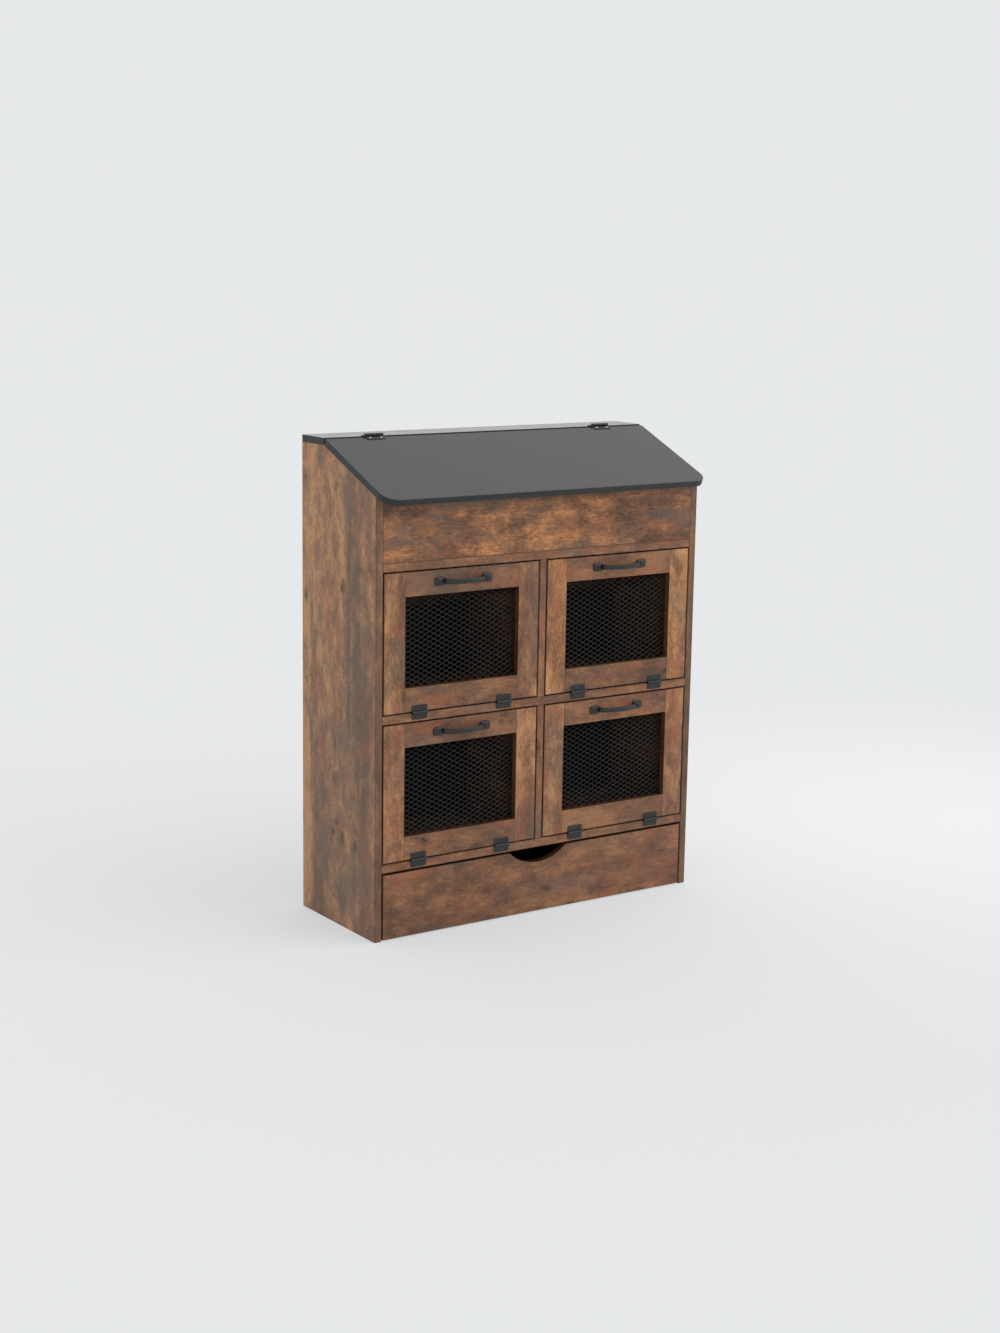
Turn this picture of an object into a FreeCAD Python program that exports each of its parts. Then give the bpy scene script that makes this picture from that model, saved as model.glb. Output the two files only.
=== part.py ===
"""Tilt-out vegetable bin cabinet.

A narrow laminated-board cabinet that stands on its two side panels. Under a
sloped, hinged lid lies a top compartment. Below it four bins, two by two, tilt
out on surface hinges along their lower edges, and a drawer slides out at the
bottom. Each bin is a door frame with an expanded-metal window and a bow
handle, and carries its own walls, floor and back.

Millimetres. X runs to the right, Y to the rear and Z up. The origin is on the
floor, at the middle of the bounding box.
"""

import FreeCAD, Part
import math
import os
import re

import Sketcher

# Every size that can be set by itself. Places and fits below are rules over these names.
SIZES = {
    # Carcass.
    "width": 700.0,
    "depth": 256.0,
    "rear_height": 862.0,
    "lid_fall": 74.0,
    "strip_depth": 77.0,
    "upright_board": 14.0,
    "shelf_board": 15.0,
    "panel_board": 15.0,
    "lower_shelf_height": 124.5,
    "opening_height": 252.0,
    "back_board": 3.0,
    "back_inset": 10.0,
    "back_foot": 12.0,
    "groove_depth": 6.0,
    "groove_play": 0.2,
    "rest_play": 0.3,
    # Lid.
    "lid_board": 12.0,
    "lid_reach": 34.0,
    "lid_corner": 28.0,
    "lid_edge": 1.0,
    "lid_gap": 1.5,
    # Lid hinges.
    "lid_hinge_place": 250.0,
    "lid_hinge_width": 38.0,
    "lid_leaf": 14.0,
    "lid_barrel": 2.6,
    "lid_end_knuckle": 11.0,
    # Doors of the bins.
    "door_board": 12.0,
    "door_gap": 2.5,
    "stile_width": 43.0,
    "rail_width": 43.0,
    # Expanded-metal window.
    "mesh_sheet": 1.0,
    "mesh_overlap": 11.0,
    "mesh_margin": 5.0,
    "mesh_pitch_wide": 48.0,
    "mesh_pitch_high": 25.0,
    "mesh_strand": 3.8,
    # Walls of the bins.
    "bin_wall": 9.0,
    "bin_floor": 5.0,
    "bin_floor_raise": 8.0,
    "bin_side_play": 3.0,
    "bin_rear_gap": 26.0,
    "bin_front_height": 215.0,
    "tilt_angle": 40.0,
    # Hinges of the bins.
    "hinge_inset": 73.0,
    "hinge_width": 32.0,
    "hinge_leaf": 13.0,
    "hinge_barrel": 2.5,
    "hinge_end_knuckle": 9.5,
    # Shared by both kinds of hinge.
    "leaf_sheet": 1.2,
    "pin_radius": 1.2,
    "pin_play": 0.05,
    "knuckle_play": 0.3,
    # Bow handles.
    "handle_length": 120.0,
    "handle_drop": 20.5,
    "foot_width": 22.0,
    "foot_height": 16.0,
    "foot_sheet": 2.5,
    "foot_corner": 5.0,
    "grip_reach": 19.0,
    "grip_radius": 93.0,
    "grip_bend": 12.0,
    "grip_height": 9.0,
    "grip_sheet": 4.5,
    "screw_radius": 2.0,
    "screw_play": 0.1,
    "screw_depth": 9.0,
    "screw_head": 4.6,
    "screw_rise": 1.8,
    "screw_ease": 1.2,
    # Pins, knuckles, screws and their holes are drawn with this many flats.
    "small_round_sides": 12,
    # Drawer.
    "drawer_side_gap": 3.0,
    "drawer_top_gap": 4.0,
    "drawer_floor_gap": 2.0,
    "cutout_width": 126.0,
    "cutout_depth": 25.0,
    "drawer_wall": 12.0,
    "drawer_rear_gap": 18.0,
    "drawer_height": 84.0,
    "drawer_raise": 14.0,
    "drawer_bottom": 3.0,
    "drawer_bottom_raise": 8.0,
    # Drawer slides.
    "slide_space": 12.5,
    "slide_sheet": 1.2,
    "slide_height": 20.4,
    "slide_drop": 30.0,
    "slide_reach": 11.4,
    "slide_bar": 10.2,
    "slide_setback": 3.0,
    "slide_rear_gap": 10.0,
    "slide_play": 0.3,
}

# Rules that several pieces share.
FRONT = "((lid_reach - depth) / 2)"
INNER = "(width / 2 - upright_board)"
INSIDE_DEPTH = "(depth - back_inset - back_board)"
SHELF_STEP = "(opening_height + shelf_board)"
FRONT_HEIGHT = "(rear_height - lid_fall)"
SLOPE = "atan(lid_fall / (depth - strip_depth))"
OPENING_WIDTH = f"({INNER} - upright_board / 2)"
OPENING_MIDDLE = f"(({INNER} + upright_board / 2) / 2)"
DOOR_WIDTH = f"({OPENING_WIDTH} - 2 * door_gap)"
DOOR_HEIGHT = "(opening_height - 2 * door_gap)"
SHELF_TOP = "(lower_shelf_height + shelf_board)"
BIN_DEPTH = f"({INSIDE_DEPTH} - door_board - bin_rear_gap)"
HOLE_SPREAD = "/ cos(180 / small_round_sides)"

X_AXIS = FreeCAD.Vector(1, 0, 0)
Y_AXIS = FreeCAD.Vector(0, 1, 0)
Z_AXIS = FreeCAD.Vector(0, 0, 1)

doc = FreeCAD.newDocument("VegetableBinCabinet")
nodes = []


def make_sheet():
    """Put every named size in the sheet, one row each."""
    sheet = doc.addObject("Spreadsheet::Sheet", "Sizes")
    for row, (name, value) in enumerate(SIZES.items(), start=1):
        sheet.set(f"A{row}", name)
        sheet.set(f"B{row}", str(value))
        sheet.setAlias(f"B{row}", name)
    doc.recompute()
    return sheet


sizes = make_sheet()


def bound(rule):
    """Turn a rule over the named sizes into an expression that reads the sheet."""
    return re.sub(r"[a-z_]+", lambda word: f"Sizes.{word[0]}" if word[0] in SIZES else word[0], str(rule))


def number(rule):
    """Work out what a rule comes to now."""
    result = sizes.evalExpression(bound(rule))
    return float(getattr(result, "Value", result))


def bind(item, **rules):
    """Bind properties of an object to rules; x, y and z are its place."""
    for name, rule in rules.items():
        path = f"Placement.Base.{name}" if name in ("x", "y", "z") else name
        item.setExpression(path, bound(rule))
    return item


def turn(item, axis, rule):
    """Turn an object about an axis through its own origin."""
    item.Placement.Rotation = FreeCAD.Rotation(axis, number(rule))
    item.setExpression("Placement.Rotation.Angle", bound(rule))
    return item


def name_node(label, item):
    """Give a finished piece its name and note it for writing."""
    item.Label = label
    nodes.append(item)
    return item


def group(pieces):
    """Hold separate like solids as one piece of the list."""
    compound = doc.addObject("Part::Compound", "Group")
    compound.Links = pieces
    return compound


def box(corner, extent):
    """A plain board from its low corner and its three extents."""
    board = doc.addObject("Part::Box", "Board")
    bind(board, Length=extent[0], Width=extent[1], Height=extent[2])
    return bind(board, x=corner[0], y=corner[1], z=corner[2])


def rod(radius, length, x, y, z, axis=X_AXIS):
    """A small rod centred on a point, along an axis; its corners lie on the radius."""
    item = doc.addObject("Part::Prism", "Rod")
    bind(item, Polygon="small_round_sides", Circumradius=radius, Height=length)
    item.Placement.Rotation = FreeCAD.Rotation(Z_AXIS, axis)
    along = {"x": axis.x, "y": axis.y, "z": axis.z}
    middle = {"x": x, "y": y, "z": z}
    return bind(item, **{name: f"({middle[name]}) - ({along[name]}) * ({length}) / 2" for name in middle})


def drill(radius, length, x, y, z, axis=X_AXIS):
    """The tool for a small hole whose flats lie on the radius."""
    return rod(f"({radius}) {HOLE_SPREAD}", length, x, y, z, axis)


def fuse(pieces):
    """Join overlapping shapes into one solid."""
    joined = doc.addObject("Part::MultiFuse", "Joined")
    joined.Shapes = pieces
    joined.Refine = True
    return joined


def cut(base, tools):
    """Take tools away from a base, and make sure that each of them bites."""
    for tool in tools:
        doc.recompute()
        before = base.Shape.Volume
        result = doc.addObject("Part::Cut", "Trimmed")
        result.Base = base
        result.Tool = tool
        doc.recompute()
        if not result.Shape.Volume < before:
            raise ValueError("a cut took nothing away")
        base = result
    return base


def new_body():
    """An empty body for sketched features."""
    return doc.addObject("PartDesign::Body", "Piece")


def new_sketch(body, role):
    """A sketch on one of the body's own origin planes."""
    sketch = body.newObject("Sketcher::SketchObject", "Profile")
    plane = next(item for item in body.Origin.OriginFeatures if item.Role == role)
    sketch.AttachmentSupport = [(plane, "")]
    sketch.MapMode = "FlatFace"
    return sketch


def draw_outline(sketch, corners):
    """Draw a closed outline whose corners are pairs of rules."""
    points = [FreeCAD.Vector(number(u), number(v), 0) for u, v in corners]
    for start, end in zip(points, points[1:] + points[:1]):
        sketch.addGeometry(Part.LineSegment(start, end), False)
    for index, corner in enumerate(corners):
        before = (index - 1) % len(corners)
        sketch.addConstraint(Sketcher.Constraint("Coincident", before, 2, index, 1))
        for kind, rule in zip(("DistanceX", "DistanceY"), corner):
            item = sketch.addConstraint(Sketcher.Constraint(kind, -1, 1, index, 1, number(rule)))
            sketch.setExpression(f"Constraints[{item}]", bound(rule))


def draw_circle(sketch, height, radius):
    """Draw a circle on the sketch's vertical axis."""
    centre = FreeCAD.Vector(0, number(height), 0)
    sketch.addGeometry(Part.Circle(centre, Z_AXIS, number(radius)), False)
    sketch.addConstraint(Sketcher.Constraint("PointOnObject", 0, 3, -2))
    for kind, places, rule in (("DistanceY", (-1, 1, 0, 3), height), ("Radius", (0,), radius)):
        item = sketch.addConstraint(Sketcher.Constraint(kind, *places, number(rule)))
        sketch.setExpression(f"Constraints[{item}]", bound(rule))


def pad(body, role, corners, length):
    """Raise an outline into a board, along the plane's normal."""
    sketch = new_sketch(body, role)
    draw_outline(sketch, corners)
    feature = body.newObject("PartDesign::Pad", "Board")
    feature.Profile = sketch
    bind(feature, Length=length)
    doc.recompute()
    return feature


def pocket(body, sketch):
    """Cut a sketch right through the body, both ways."""
    before = body.Shape.Volume
    feature = body.newObject("PartDesign::Pocket", "Cutout")
    feature.Profile = sketch
    feature.Type = "ThroughAll"
    feature.Midplane = True
    doc.recompute()
    if not body.Shape.Volume < before:
        raise ValueError("a cut-out took nothing away")
    return feature


def edges_where(shape, test):
    """Numbers of the edges whose two ends together meet a test."""
    return [
        index
        for index, edge in enumerate(shape.Edges, start=1)
        if test(edge.Vertexes[0].Point, edge.Vertexes[-1].Point)
    ]


def soften(body, kind, test, **sizes_by_name):
    """Round or chamfer the edges of a body that meet a test."""
    base = body.Tip
    feature = body.newObject(kind, "Softening")
    feature.Base = (base, [f"Edge{index}" for index in edges_where(base.Shape, test)])
    bind(feature, **sizes_by_name)
    doc.recompute()
    return feature


def near(value, rule):
    """Tell whether a coordinate lies where a rule puts it."""
    return abs(value - number(rule)) < 1e-4


# ---------------------------------------------------------------- carcass


def side_panel(label, x, groove_from, groove_to):
    """A full-height side: flat at the rear, sloped to the front, grooved for the back."""
    body = new_body()
    corners = [
        ("0", "0"),
        ("depth", "0"),
        ("depth", "rear_height"),
        ("depth - strip_depth", "rear_height"),
        ("0", FRONT_HEIGHT),
    ]
    pad(body, "YZ_Plane", corners, "upright_board")
    near_edge = f"{INSIDE_DEPTH} - groove_play"
    far_edge = f"{INSIDE_DEPTH} + back_board + groove_play"
    groove = new_sketch(body, "XY_Plane")
    draw_outline(
        groove,
        [(groove_from, near_edge), (groove_to, near_edge), (groove_to, far_edge), (groove_from, far_edge)],
    )
    pocket(body, groove)
    bind(body, x=x, y=FRONT)
    return name_node(label, body)


def shelf(label, step):
    """A full-width shelf whose front edge shows between the doors."""
    height = f"lower_shelf_height + {step} * {SHELF_STEP}"
    board = box((f"-{INNER}", FRONT, height), (f"2 * {INNER}", INSIDE_DEPTH, "shelf_board"))
    return name_node(label, board)


def divider(label, step):
    """The upright between two neighbouring bins."""
    foot = f"{SHELF_TOP} + {step} * {SHELF_STEP}"
    board = box(("-upright_board / 2", FRONT, foot), ("upright_board", INSIDE_DEPTH, "opening_height"))
    return name_node(label, board)


def carcass():
    """The fixed boards of the cabinet."""
    side_panel("left_side", "-width / 2", "upright_board - groove_depth", "upright_board + groove_depth")
    side_panel("right_side", INNER, "-groove_depth", "groove_depth")
    for step, label in enumerate(("lower_shelf", "middle_shelf", "upper_shelf")):
        shelf(label, step)
    for step, label in enumerate(("lower_divider", "upper_divider")):
        divider(label, step)
    panel_foot = f"{SHELF_TOP} + 2 * {SHELF_STEP}"
    panel_height = f"{FRONT_HEIGHT} - rest_play - ({panel_foot})"
    name_node(
        "upper_front_panel",
        box((f"-{INNER}", FRONT, panel_foot), (f"2 * {INNER}", "panel_board", panel_height)),
    )
    name_node(
        "top_strip",
        box(
            ("-width / 2", f"{FRONT} + depth - strip_depth", "rear_height"),
            ("width", "strip_depth", "lid_board"),
        ),
    )
    half_back = f"({INNER} + groove_depth - groove_play)"
    name_node(
        "back_panel",
        box(
            (f"-{half_back}", f"{FRONT} + {INSIDE_DEPTH}", "back_foot"),
            (f"2 * {half_back}", "back_board", "rear_height - back_foot"),
        ),
    )


# ---------------------------------------------------------------- hinges


def hinge_leaf(width, barrel, reach, knuckles, upward):
    """One leaf of a butt hinge, with its rolled knuckles about the X axis.

    The sheet lies at the back of the barrel, on the mounting plane, and
    reaches up or down from it. Each knuckle is a pair of rules for its ends.
    """
    back = f"({barrel} - leaf_sheet)"
    start = f"({barrel} + knuckle_play)"
    sheet_foot = start if upward else f"-({reach})"
    tab_foot = "0" if upward else f"-{start}"
    pieces = [box((f"-({width}) / 2", back, sheet_foot), (width, "leaf_sheet", f"{reach} - {start}"))]
    bores = []
    for low, high in knuckles:
        span = f"(({high}) - ({low}))"
        middle = f"(({high}) + ({low})) / 2"
        pieces.append(box((low, back, tab_foot), (span, "leaf_sheet", start)))
        pieces.append(rod(barrel, span, middle, "0", "0"))
        bores.append(drill("pin_radius + pin_play", span, middle, "0", "0"))
    return cut(fuse(pieces), bores)


def end_knuckles(width, end):
    """The two outer knuckles of a hinge."""
    return [(f"-({width}) / 2", f"{end} - ({width}) / 2"), (f"({width}) / 2 - {end}", f"({width}) / 2")]


def middle_knuckle(width, end):
    """The one middle knuckle of a hinge, clear of its neighbours."""
    half = f"(({width}) / 2 - {end} - knuckle_play)"
    return [(f"-{half}", half)]


def bin_leaf(knuckles, upward):
    """A leaf of a bin's hinge."""
    ends = knuckles("hinge_width", "hinge_end_knuckle")
    return hinge_leaf("hinge_width", "hinge_barrel", "hinge_leaf", ends, upward)


def lid_leaf(knuckles, upward):
    """A leaf of a lid hinge."""
    ends = knuckles("lid_hinge_width", "lid_end_knuckle")
    return hinge_leaf("lid_hinge_width", "lid_barrel", "lid_leaf", ends, upward)


def bin_hinge_axes(side, step):
    """The two hinge centres of one bin, in the gap under its door."""
    offset = f"({DOOR_WIDTH} / 2 - hinge_inset)"
    height = f"({SHELF_TOP} + {step} * {SHELF_STEP} + door_gap / 2)"
    return [
        {"x": f"{side} * {OPENING_MIDDLE} + {end} * {offset}", "y": f"{FRONT} - hinge_barrel", "z": height}
        for end in (-1, 1)
    ]


def shelf_hinges(label, step):
    """The fixed leaves and pins along the front edge of one shelf."""
    axes = bin_hinge_axes(-1, step) + bin_hinge_axes(1, step)
    leaves = [bind(bin_leaf(end_knuckles, upward=False), **axis) for axis in axes]
    pins = [rod("pin_radius", "hinge_width", **axis) for axis in axes]
    name_node(f"{label}_shelf_hinge_leaves", group(leaves))
    name_node(f"{label}_shelf_hinge_pins", group(pins))


def lid_hinge_axes():
    """The two lid hinge centres, above the line where strip and lid meet."""
    height = "(lid_board + lid_barrel)"
    y = f"{FRONT} + depth - strip_depth - {height} * tan({SLOPE} / 2)"
    return [{"x": f"{side} * lid_hinge_place", "y": y, "z": f"rear_height + {height}"} for side in (-1, 1)]


def lid_hinges():
    """Fixed leaves on the strip, moving leaves on the lid, and the pins."""
    fixed = [turn(lid_leaf(end_knuckles, upward=True), X_AXIS, "-90") for _ in lid_hinge_axes()]
    moving = [
        turn(lid_leaf(middle_knuckle, upward=False), X_AXIS, f"{SLOPE} - 90 deg") for _ in lid_hinge_axes()
    ]
    for leaf, axis in zip(fixed + moving, lid_hinge_axes() * 2):
        bind(leaf, **axis)
    pins = [rod("pin_radius", "lid_hinge_width", **axis) for axis in lid_hinge_axes()]
    name_node("strip_hinge_leaves", group(fixed))
    name_node("lid_hinge_leaves", group(moving))
    name_node("lid_hinge_pins", group(pins))


# ---------------------------------------------------------------- lid


def lid():
    """The sloped lid: rounded front corners, chamfered upper edge.

    Its foremost line is the lower edge of the chamfer.
    """
    lean = f"(lid_board - lid_edge) * sin({SLOPE})"
    reach = f"((depth - strip_depth + lid_reach - {lean}) / cos({SLOPE}))"
    body = new_body()
    corners = [
        ("-width / 2", f"-{reach}"),
        ("width / 2", f"-{reach}"),
        ("width / 2", "-lid_gap"),
        ("-width / 2", "-lid_gap"),
    ]
    pad(body, "XY_Plane", corners, "lid_board")

    def front_corner(a, b):
        return near(a.y, f"-{reach}") and near(b.x - a.x, "0") and near(b.y - a.y, "0")

    def upper_edge(a, b):
        return near(a.z, "lid_board") and near(b.z, "lid_board")

    soften(body, "PartDesign::Fillet", front_corner, Radius="lid_corner")
    soften(body, "PartDesign::Chamfer", upper_edge, Size="lid_edge")
    turn(body, X_AXIS, SLOPE)
    bind(body, x="0", y=f"{FRONT} + depth - strip_depth", z="rear_height")
    return name_node("lid", body)


# ---------------------------------------------------------------- bins


def door_frame(label, middle, foot):
    """Two upright stiles with a bottom and a top rail between them."""
    stiles = [
        box((f"{middle} + {place}", FRONT, foot), ("stile_width", "door_board", DOOR_HEIGHT))
        for place in (f"-{DOOR_WIDTH} / 2", f"{DOOR_WIDTH} / 2 - stile_width")
    ]
    name_node(f"{label}_stiles", group(stiles))
    rail_start = f"{middle} - {DOOR_WIDTH} / 2 + stile_width"
    rail = (f"{DOOR_WIDTH} - 2 * stile_width", "door_board", "rail_width")
    lower = box((rail_start, FRONT, foot), rail)
    upper = box((rail_start, FRONT, f"{foot} + {DOOR_HEIGHT} - rail_width"), rail)
    pilots = [
        drill("screw_radius + screw_play", "2 * screw_depth", x, FRONT, handle_height(foot), Y_AXIS)
        for x in screw_places(middle)
    ]
    name_node(f"{label}_rails", group([lower, cut(upper, pilots)]))


def diamond(centre_x, centre_z, half_wide, half_high):
    """One opening of the expanded metal, as a closed wire."""
    tips = ((half_wide, 0), (0, half_high), (-half_wide, 0), (0, -half_high))
    corners = [FreeCAD.Vector(centre_x + dx, 0, centre_z + dz) for dx, dz in tips]
    return Part.makePolygon(corners + corners[:1])


def mesh_face():
    """A flat face with staggered diamond openings inside a plain margin."""
    half_x = number(f"{DOOR_WIDTH} / 2 - stile_width + mesh_overlap")
    half_z = number(f"{DOOR_HEIGHT} / 2 - rail_width + mesh_overlap")
    margin = number("mesh_margin")
    half_wide = number("mesh_pitch_wide / 2")
    half_high = number("mesh_pitch_high / 2")
    share = 1 - number("mesh_strand") * math.hypot(half_wide, half_high) / (2 * half_wide * half_high)
    columns = int((half_x - margin) / half_wide)
    rows = int((half_z - margin) / half_high)
    rim = [FreeCAD.Vector(x * half_x, 0, z * half_z) for x, z in ((-1, -1), (1, -1), (1, 1), (-1, 1), (-1, -1))]
    wires = [Part.makePolygon(rim)]
    for column in range(-columns + 1, columns):
        for row in range(-rows + 1, rows):
            if (column + row) % 2 == 0:
                wires.append(diamond(column * half_wide, row * half_high, half_wide * share, half_high * share))
    return Part.makeFace(Part.makeCompound(wires), "Part::FaceMakerBullseye")


def mesh_window(label, middle, foot):
    """The expanded-metal sheet fastened behind the door frame."""
    face = doc.addObject("Part::Feature", "MeshFace")
    face.Shape = mesh_face()
    sheet = doc.addObject("Part::Extrusion", "Mesh")
    sheet.Base = face
    sheet.DirMode = "Custom"
    sheet.Dir = Y_AXIS
    sheet.Solid = True
    bind(sheet, LengthFwd="mesh_sheet")
    bind(sheet, x=middle, y=f"{FRONT} + door_board", z=f"{foot} + {DOOR_HEIGHT} / 2")
    return name_node(f"{label}_mesh", sheet)


def bin_box(label, middle, foot):
    """Walls, back and floor of one bin.

    The upper rear corners of the walls stand further from the hinge axis than
    the shelf above does, so they catch under it at the tilt angle.
    """
    reach = f"(hinge_barrel + door_board + {BIN_DEPTH})"
    headroom = "(opening_height - door_gap / 2 - rest_play)"
    rear = f"(({headroom} - {reach} * sin(tilt_angle)) / cos(tilt_angle) + door_gap / 2 - rest_play)"
    seat = f"({foot} + rest_play)"
    outer = f"({DOOR_WIDTH} / 2 - bin_side_play)"
    start = f"{FRONT} + door_board"
    corners = [("0", "0"), (BIN_DEPTH, "0"), (BIN_DEPTH, rear), ("0", "bin_front_height")]
    walls = []
    for place in (f"-{outer}", f"{outer} - bin_wall"):
        body = new_body()
        pad(body, "YZ_Plane", corners, "bin_wall")
        walls.append(bind(body, x=f"{middle} + {place}", y=start, z=seat))
    name_node(f"{label}_walls", group(walls))
    inner = f"({outer} - bin_wall)"
    back = box(
        (f"{middle} - {inner}", f"{start} + {BIN_DEPTH} - bin_wall", seat),
        (f"2 * {inner}", "bin_wall", rear),
    )
    name_node(f"{label}_back", back)
    floor = box(
        (f"{middle} - {inner}", start, f"{seat} + bin_floor_raise"),
        (f"2 * {inner}", f"{BIN_DEPTH} - bin_wall", "bin_floor"),
    )
    name_node(f"{label}_floor", floor)


def handle_height(foot):
    """Height of a handle's middle above the floor."""
    return f"({foot} + {DOOR_HEIGHT} - handle_drop)"


def screw_places(middle):
    """X of a handle's two screws, in the middle of its feet."""
    return [f"{middle} + {side} * (handle_length - foot_width) / 2" for side in (-1, 1)]


def grip_path():
    """Centre line of the grip: out of one foot, over a shallow bow, into the other."""
    foot = number("handle_length / 2 - foot_width + grip_sheet / 2")
    reach = number("grip_reach")
    radius = number("grip_radius")
    bend = number("grip_bend")
    bow_y = radius - reach
    bend_y = bow_y - math.sqrt((radius - bend) ** 2 - (foot - bend) ** 2)
    spread = math.atan2(foot - bend, bow_y - bend_y)
    half = spread + (math.pi / 2 - spread) / 2

    def on_bend(side, angle):
        return FreeCAD.Vector(side * (foot - bend + bend * math.sin(angle)), bend_y - bend * math.cos(angle), 0)

    edges = [
        Part.makeLine(FreeCAD.Vector(-foot, 0, 0), FreeCAD.Vector(-foot, bend_y, 0)),
        Part.Arc(on_bend(-1, math.pi / 2), on_bend(-1, half), on_bend(-1, spread)).toShape(),
        Part.Arc(on_bend(-1, spread), FreeCAD.Vector(0, -reach, 0), on_bend(1, spread)).toShape(),
        Part.Arc(on_bend(1, spread), on_bend(1, half), on_bend(1, math.pi / 2)).toShape(),
        Part.makeLine(FreeCAD.Vector(foot, bend_y, 0), FreeCAD.Vector(foot, 0, 0)),
    ]
    return Part.Wire(edges)


def grip_section():
    """Cross-section of the grip where it leaves the first foot: a strap, eased on its outer face."""
    foot = number("handle_length / 2 - foot_width + grip_sheet / 2")
    half_x = number("grip_sheet / 2")
    half_z = number("grip_height / 2")
    ease = half_x / 2
    upper = [(half_x, half_z), (ease - half_x, half_z), (-half_x, half_z - ease)]
    loop = upper + [(x, -z) for x, z in reversed(upper)]
    corners = [FreeCAD.Vector(x - foot, 0, z) for x, z in loop]
    return Part.makePolygon(corners + corners[:1])


def handle_foot(side):
    """One foot of a handle: a plate with rounded corners and a screw hole."""
    plate = box(
        (f"{side} * (handle_length - foot_width) / 2 - foot_width / 2", "-foot_sheet", "-foot_height / 2"),
        ("foot_width", "foot_sheet", "foot_height"),
    )
    doc.recompute()
    rounded = doc.addObject("Part::Fillet", "Foot")
    rounded.Base = plate
    corner = number("foot_corner")
    rounded.Edges = [
        (index, corner, corner)
        for index in edges_where(plate.Shape, lambda a, b: near(abs(b.y - a.y), "foot_sheet"))
    ]
    return rounded


def handle(label, middle, foot):
    """A bow handle with its two screws."""
    grip = doc.addObject("Part::Feature", "Grip")
    grip.Shape = grip_path().makePipeShell([grip_section()], True, False)
    joined = fuse([handle_foot(-1), handle_foot(1), grip])
    holes = [
        drill("screw_radius + screw_play", "4 * foot_sheet", x, "0", "0", Y_AXIS)
        for x in screw_places("0")
    ]
    bow = cut(joined, holes)
    bind(bow, x=middle, y=FRONT, z=handle_height(foot))
    name_node(f"{label}_handle", bow)
    name_node(f"{label}_handle_screws", group([handle_screw(x, foot) for x in screw_places(middle)]))


def handle_screw(x, foot):
    """A screw whose rounded head rests on a foot of the handle."""
    seat = f"({FRONT} - foot_sheet)"
    crown = f"({seat} - screw_rise)"
    blank = rod("screw_head", "screw_rise", x, f"({seat} + {crown}) / 2", handle_height(foot), Y_AXIS)
    doc.recompute()
    head = doc.addObject("Part::Chamfer", "Head")
    head.Base = blank
    ease = number("screw_ease")
    head.Edges = [
        (index, ease, ease)
        for index in edges_where(blank.Shape, lambda a, b: near(a.y, crown) and near(b.y, crown))
    ]
    length = "(screw_depth + foot_sheet + screw_rise / 4)"
    middle = f"{FRONT} + screw_depth - {length} / 2"
    shank = rod("screw_radius", length, x, middle, handle_height(foot), Y_AXIS)
    return fuse([head, shank])


def tilting_bin(label, side, step):
    """One tilting bin with its door, window, walls, handle and hinge leaves."""
    middle = f"({side} * {OPENING_MIDDLE})"
    foot = f"({SHELF_TOP} + {step} * {SHELF_STEP})"
    door_foot = f"({foot} + door_gap)"
    door_frame(label, middle, door_foot)
    mesh_window(label, middle, door_foot)
    bin_box(label, middle, foot)
    handle(label, middle, door_foot)
    leaves = [bind(bin_leaf(middle_knuckle, upward=True), **axis) for axis in bin_hinge_axes(side, step)]
    name_node(f"{label}_hinge_leaves", group(leaves))


# ---------------------------------------------------------------- drawer


DRAWER_FRONT_HEIGHT = "(lower_shelf_height - drawer_top_gap - drawer_floor_gap)"
DRAWER_START = f"({FRONT} + panel_board)"
DRAWER_LENGTH = f"({INSIDE_DEPTH} - panel_board - drawer_rear_gap)"
DRAWER_HALF = f"({INNER} - slide_space)"
SLIDE_LENGTH = f"({INSIDE_DEPTH} - panel_board - slide_setback - slide_rear_gap)"
SLIDE_HEIGHT = "(drawer_raise + drawer_height - slide_drop)"


def drawer_front():
    """The drawer front, with its round-bottomed finger cut-out."""
    half = f"({INNER} - drawer_side_gap)"
    body = new_body()
    corners = [
        (f"-{half}", "0"),
        (half, "0"),
        (half, DRAWER_FRONT_HEIGHT),
        (f"-{half}", DRAWER_FRONT_HEIGHT),
    ]
    pad(body, "XZ_Plane", corners, "panel_board")
    radius = "((cutout_width * cutout_width / 4 + cutout_depth * cutout_depth) / (2 * cutout_depth))"
    circle = new_sketch(body, "XZ_Plane")
    draw_circle(circle, f"{DRAWER_FRONT_HEIGHT} - cutout_depth + {radius}", radius)
    pocket(body, circle)
    bind(body, y=DRAWER_START, z="drawer_floor_gap")
    return name_node("drawer_front", body)


def drawer_box():
    """Sides, back and grooved-in bottom of the drawer."""
    inside = f"({DRAWER_HALF} - drawer_wall)"
    bottom_foot = "(drawer_raise + drawer_bottom_raise)"
    bottom_half = f"({inside} + groove_depth)"
    slot = box(
        (f"-{bottom_half}", DRAWER_START, f"{bottom_foot} - groove_play"),
        (f"2 * {bottom_half}", DRAWER_LENGTH, "drawer_bottom + 2 * groove_play"),
    )
    sides = []
    for place in (f"-{DRAWER_HALF}", inside):
        side = box((place, DRAWER_START, "drawer_raise"), ("drawer_wall", DRAWER_LENGTH, "drawer_height"))
        sides.append(cut(side, [slot]))
    name_node("drawer_sides", group(sides))
    bottom_reach = f"({bottom_half} - groove_play)"
    bottom = box(
        (f"-{bottom_reach}", DRAWER_START, bottom_foot),
        (f"2 * {bottom_reach}", DRAWER_LENGTH, "drawer_bottom"),
    )
    name_node("drawer_bottom", bottom)
    back_foot = f"({bottom_foot} + drawer_bottom)"
    back = box(
        (f"-{inside}", f"{DRAWER_START} + {DRAWER_LENGTH} - drawer_wall", back_foot),
        (f"2 * {inside}", "drawer_wall", f"drawer_raise + drawer_height - {back_foot}"),
    )
    name_node("drawer_back", back)


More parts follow.
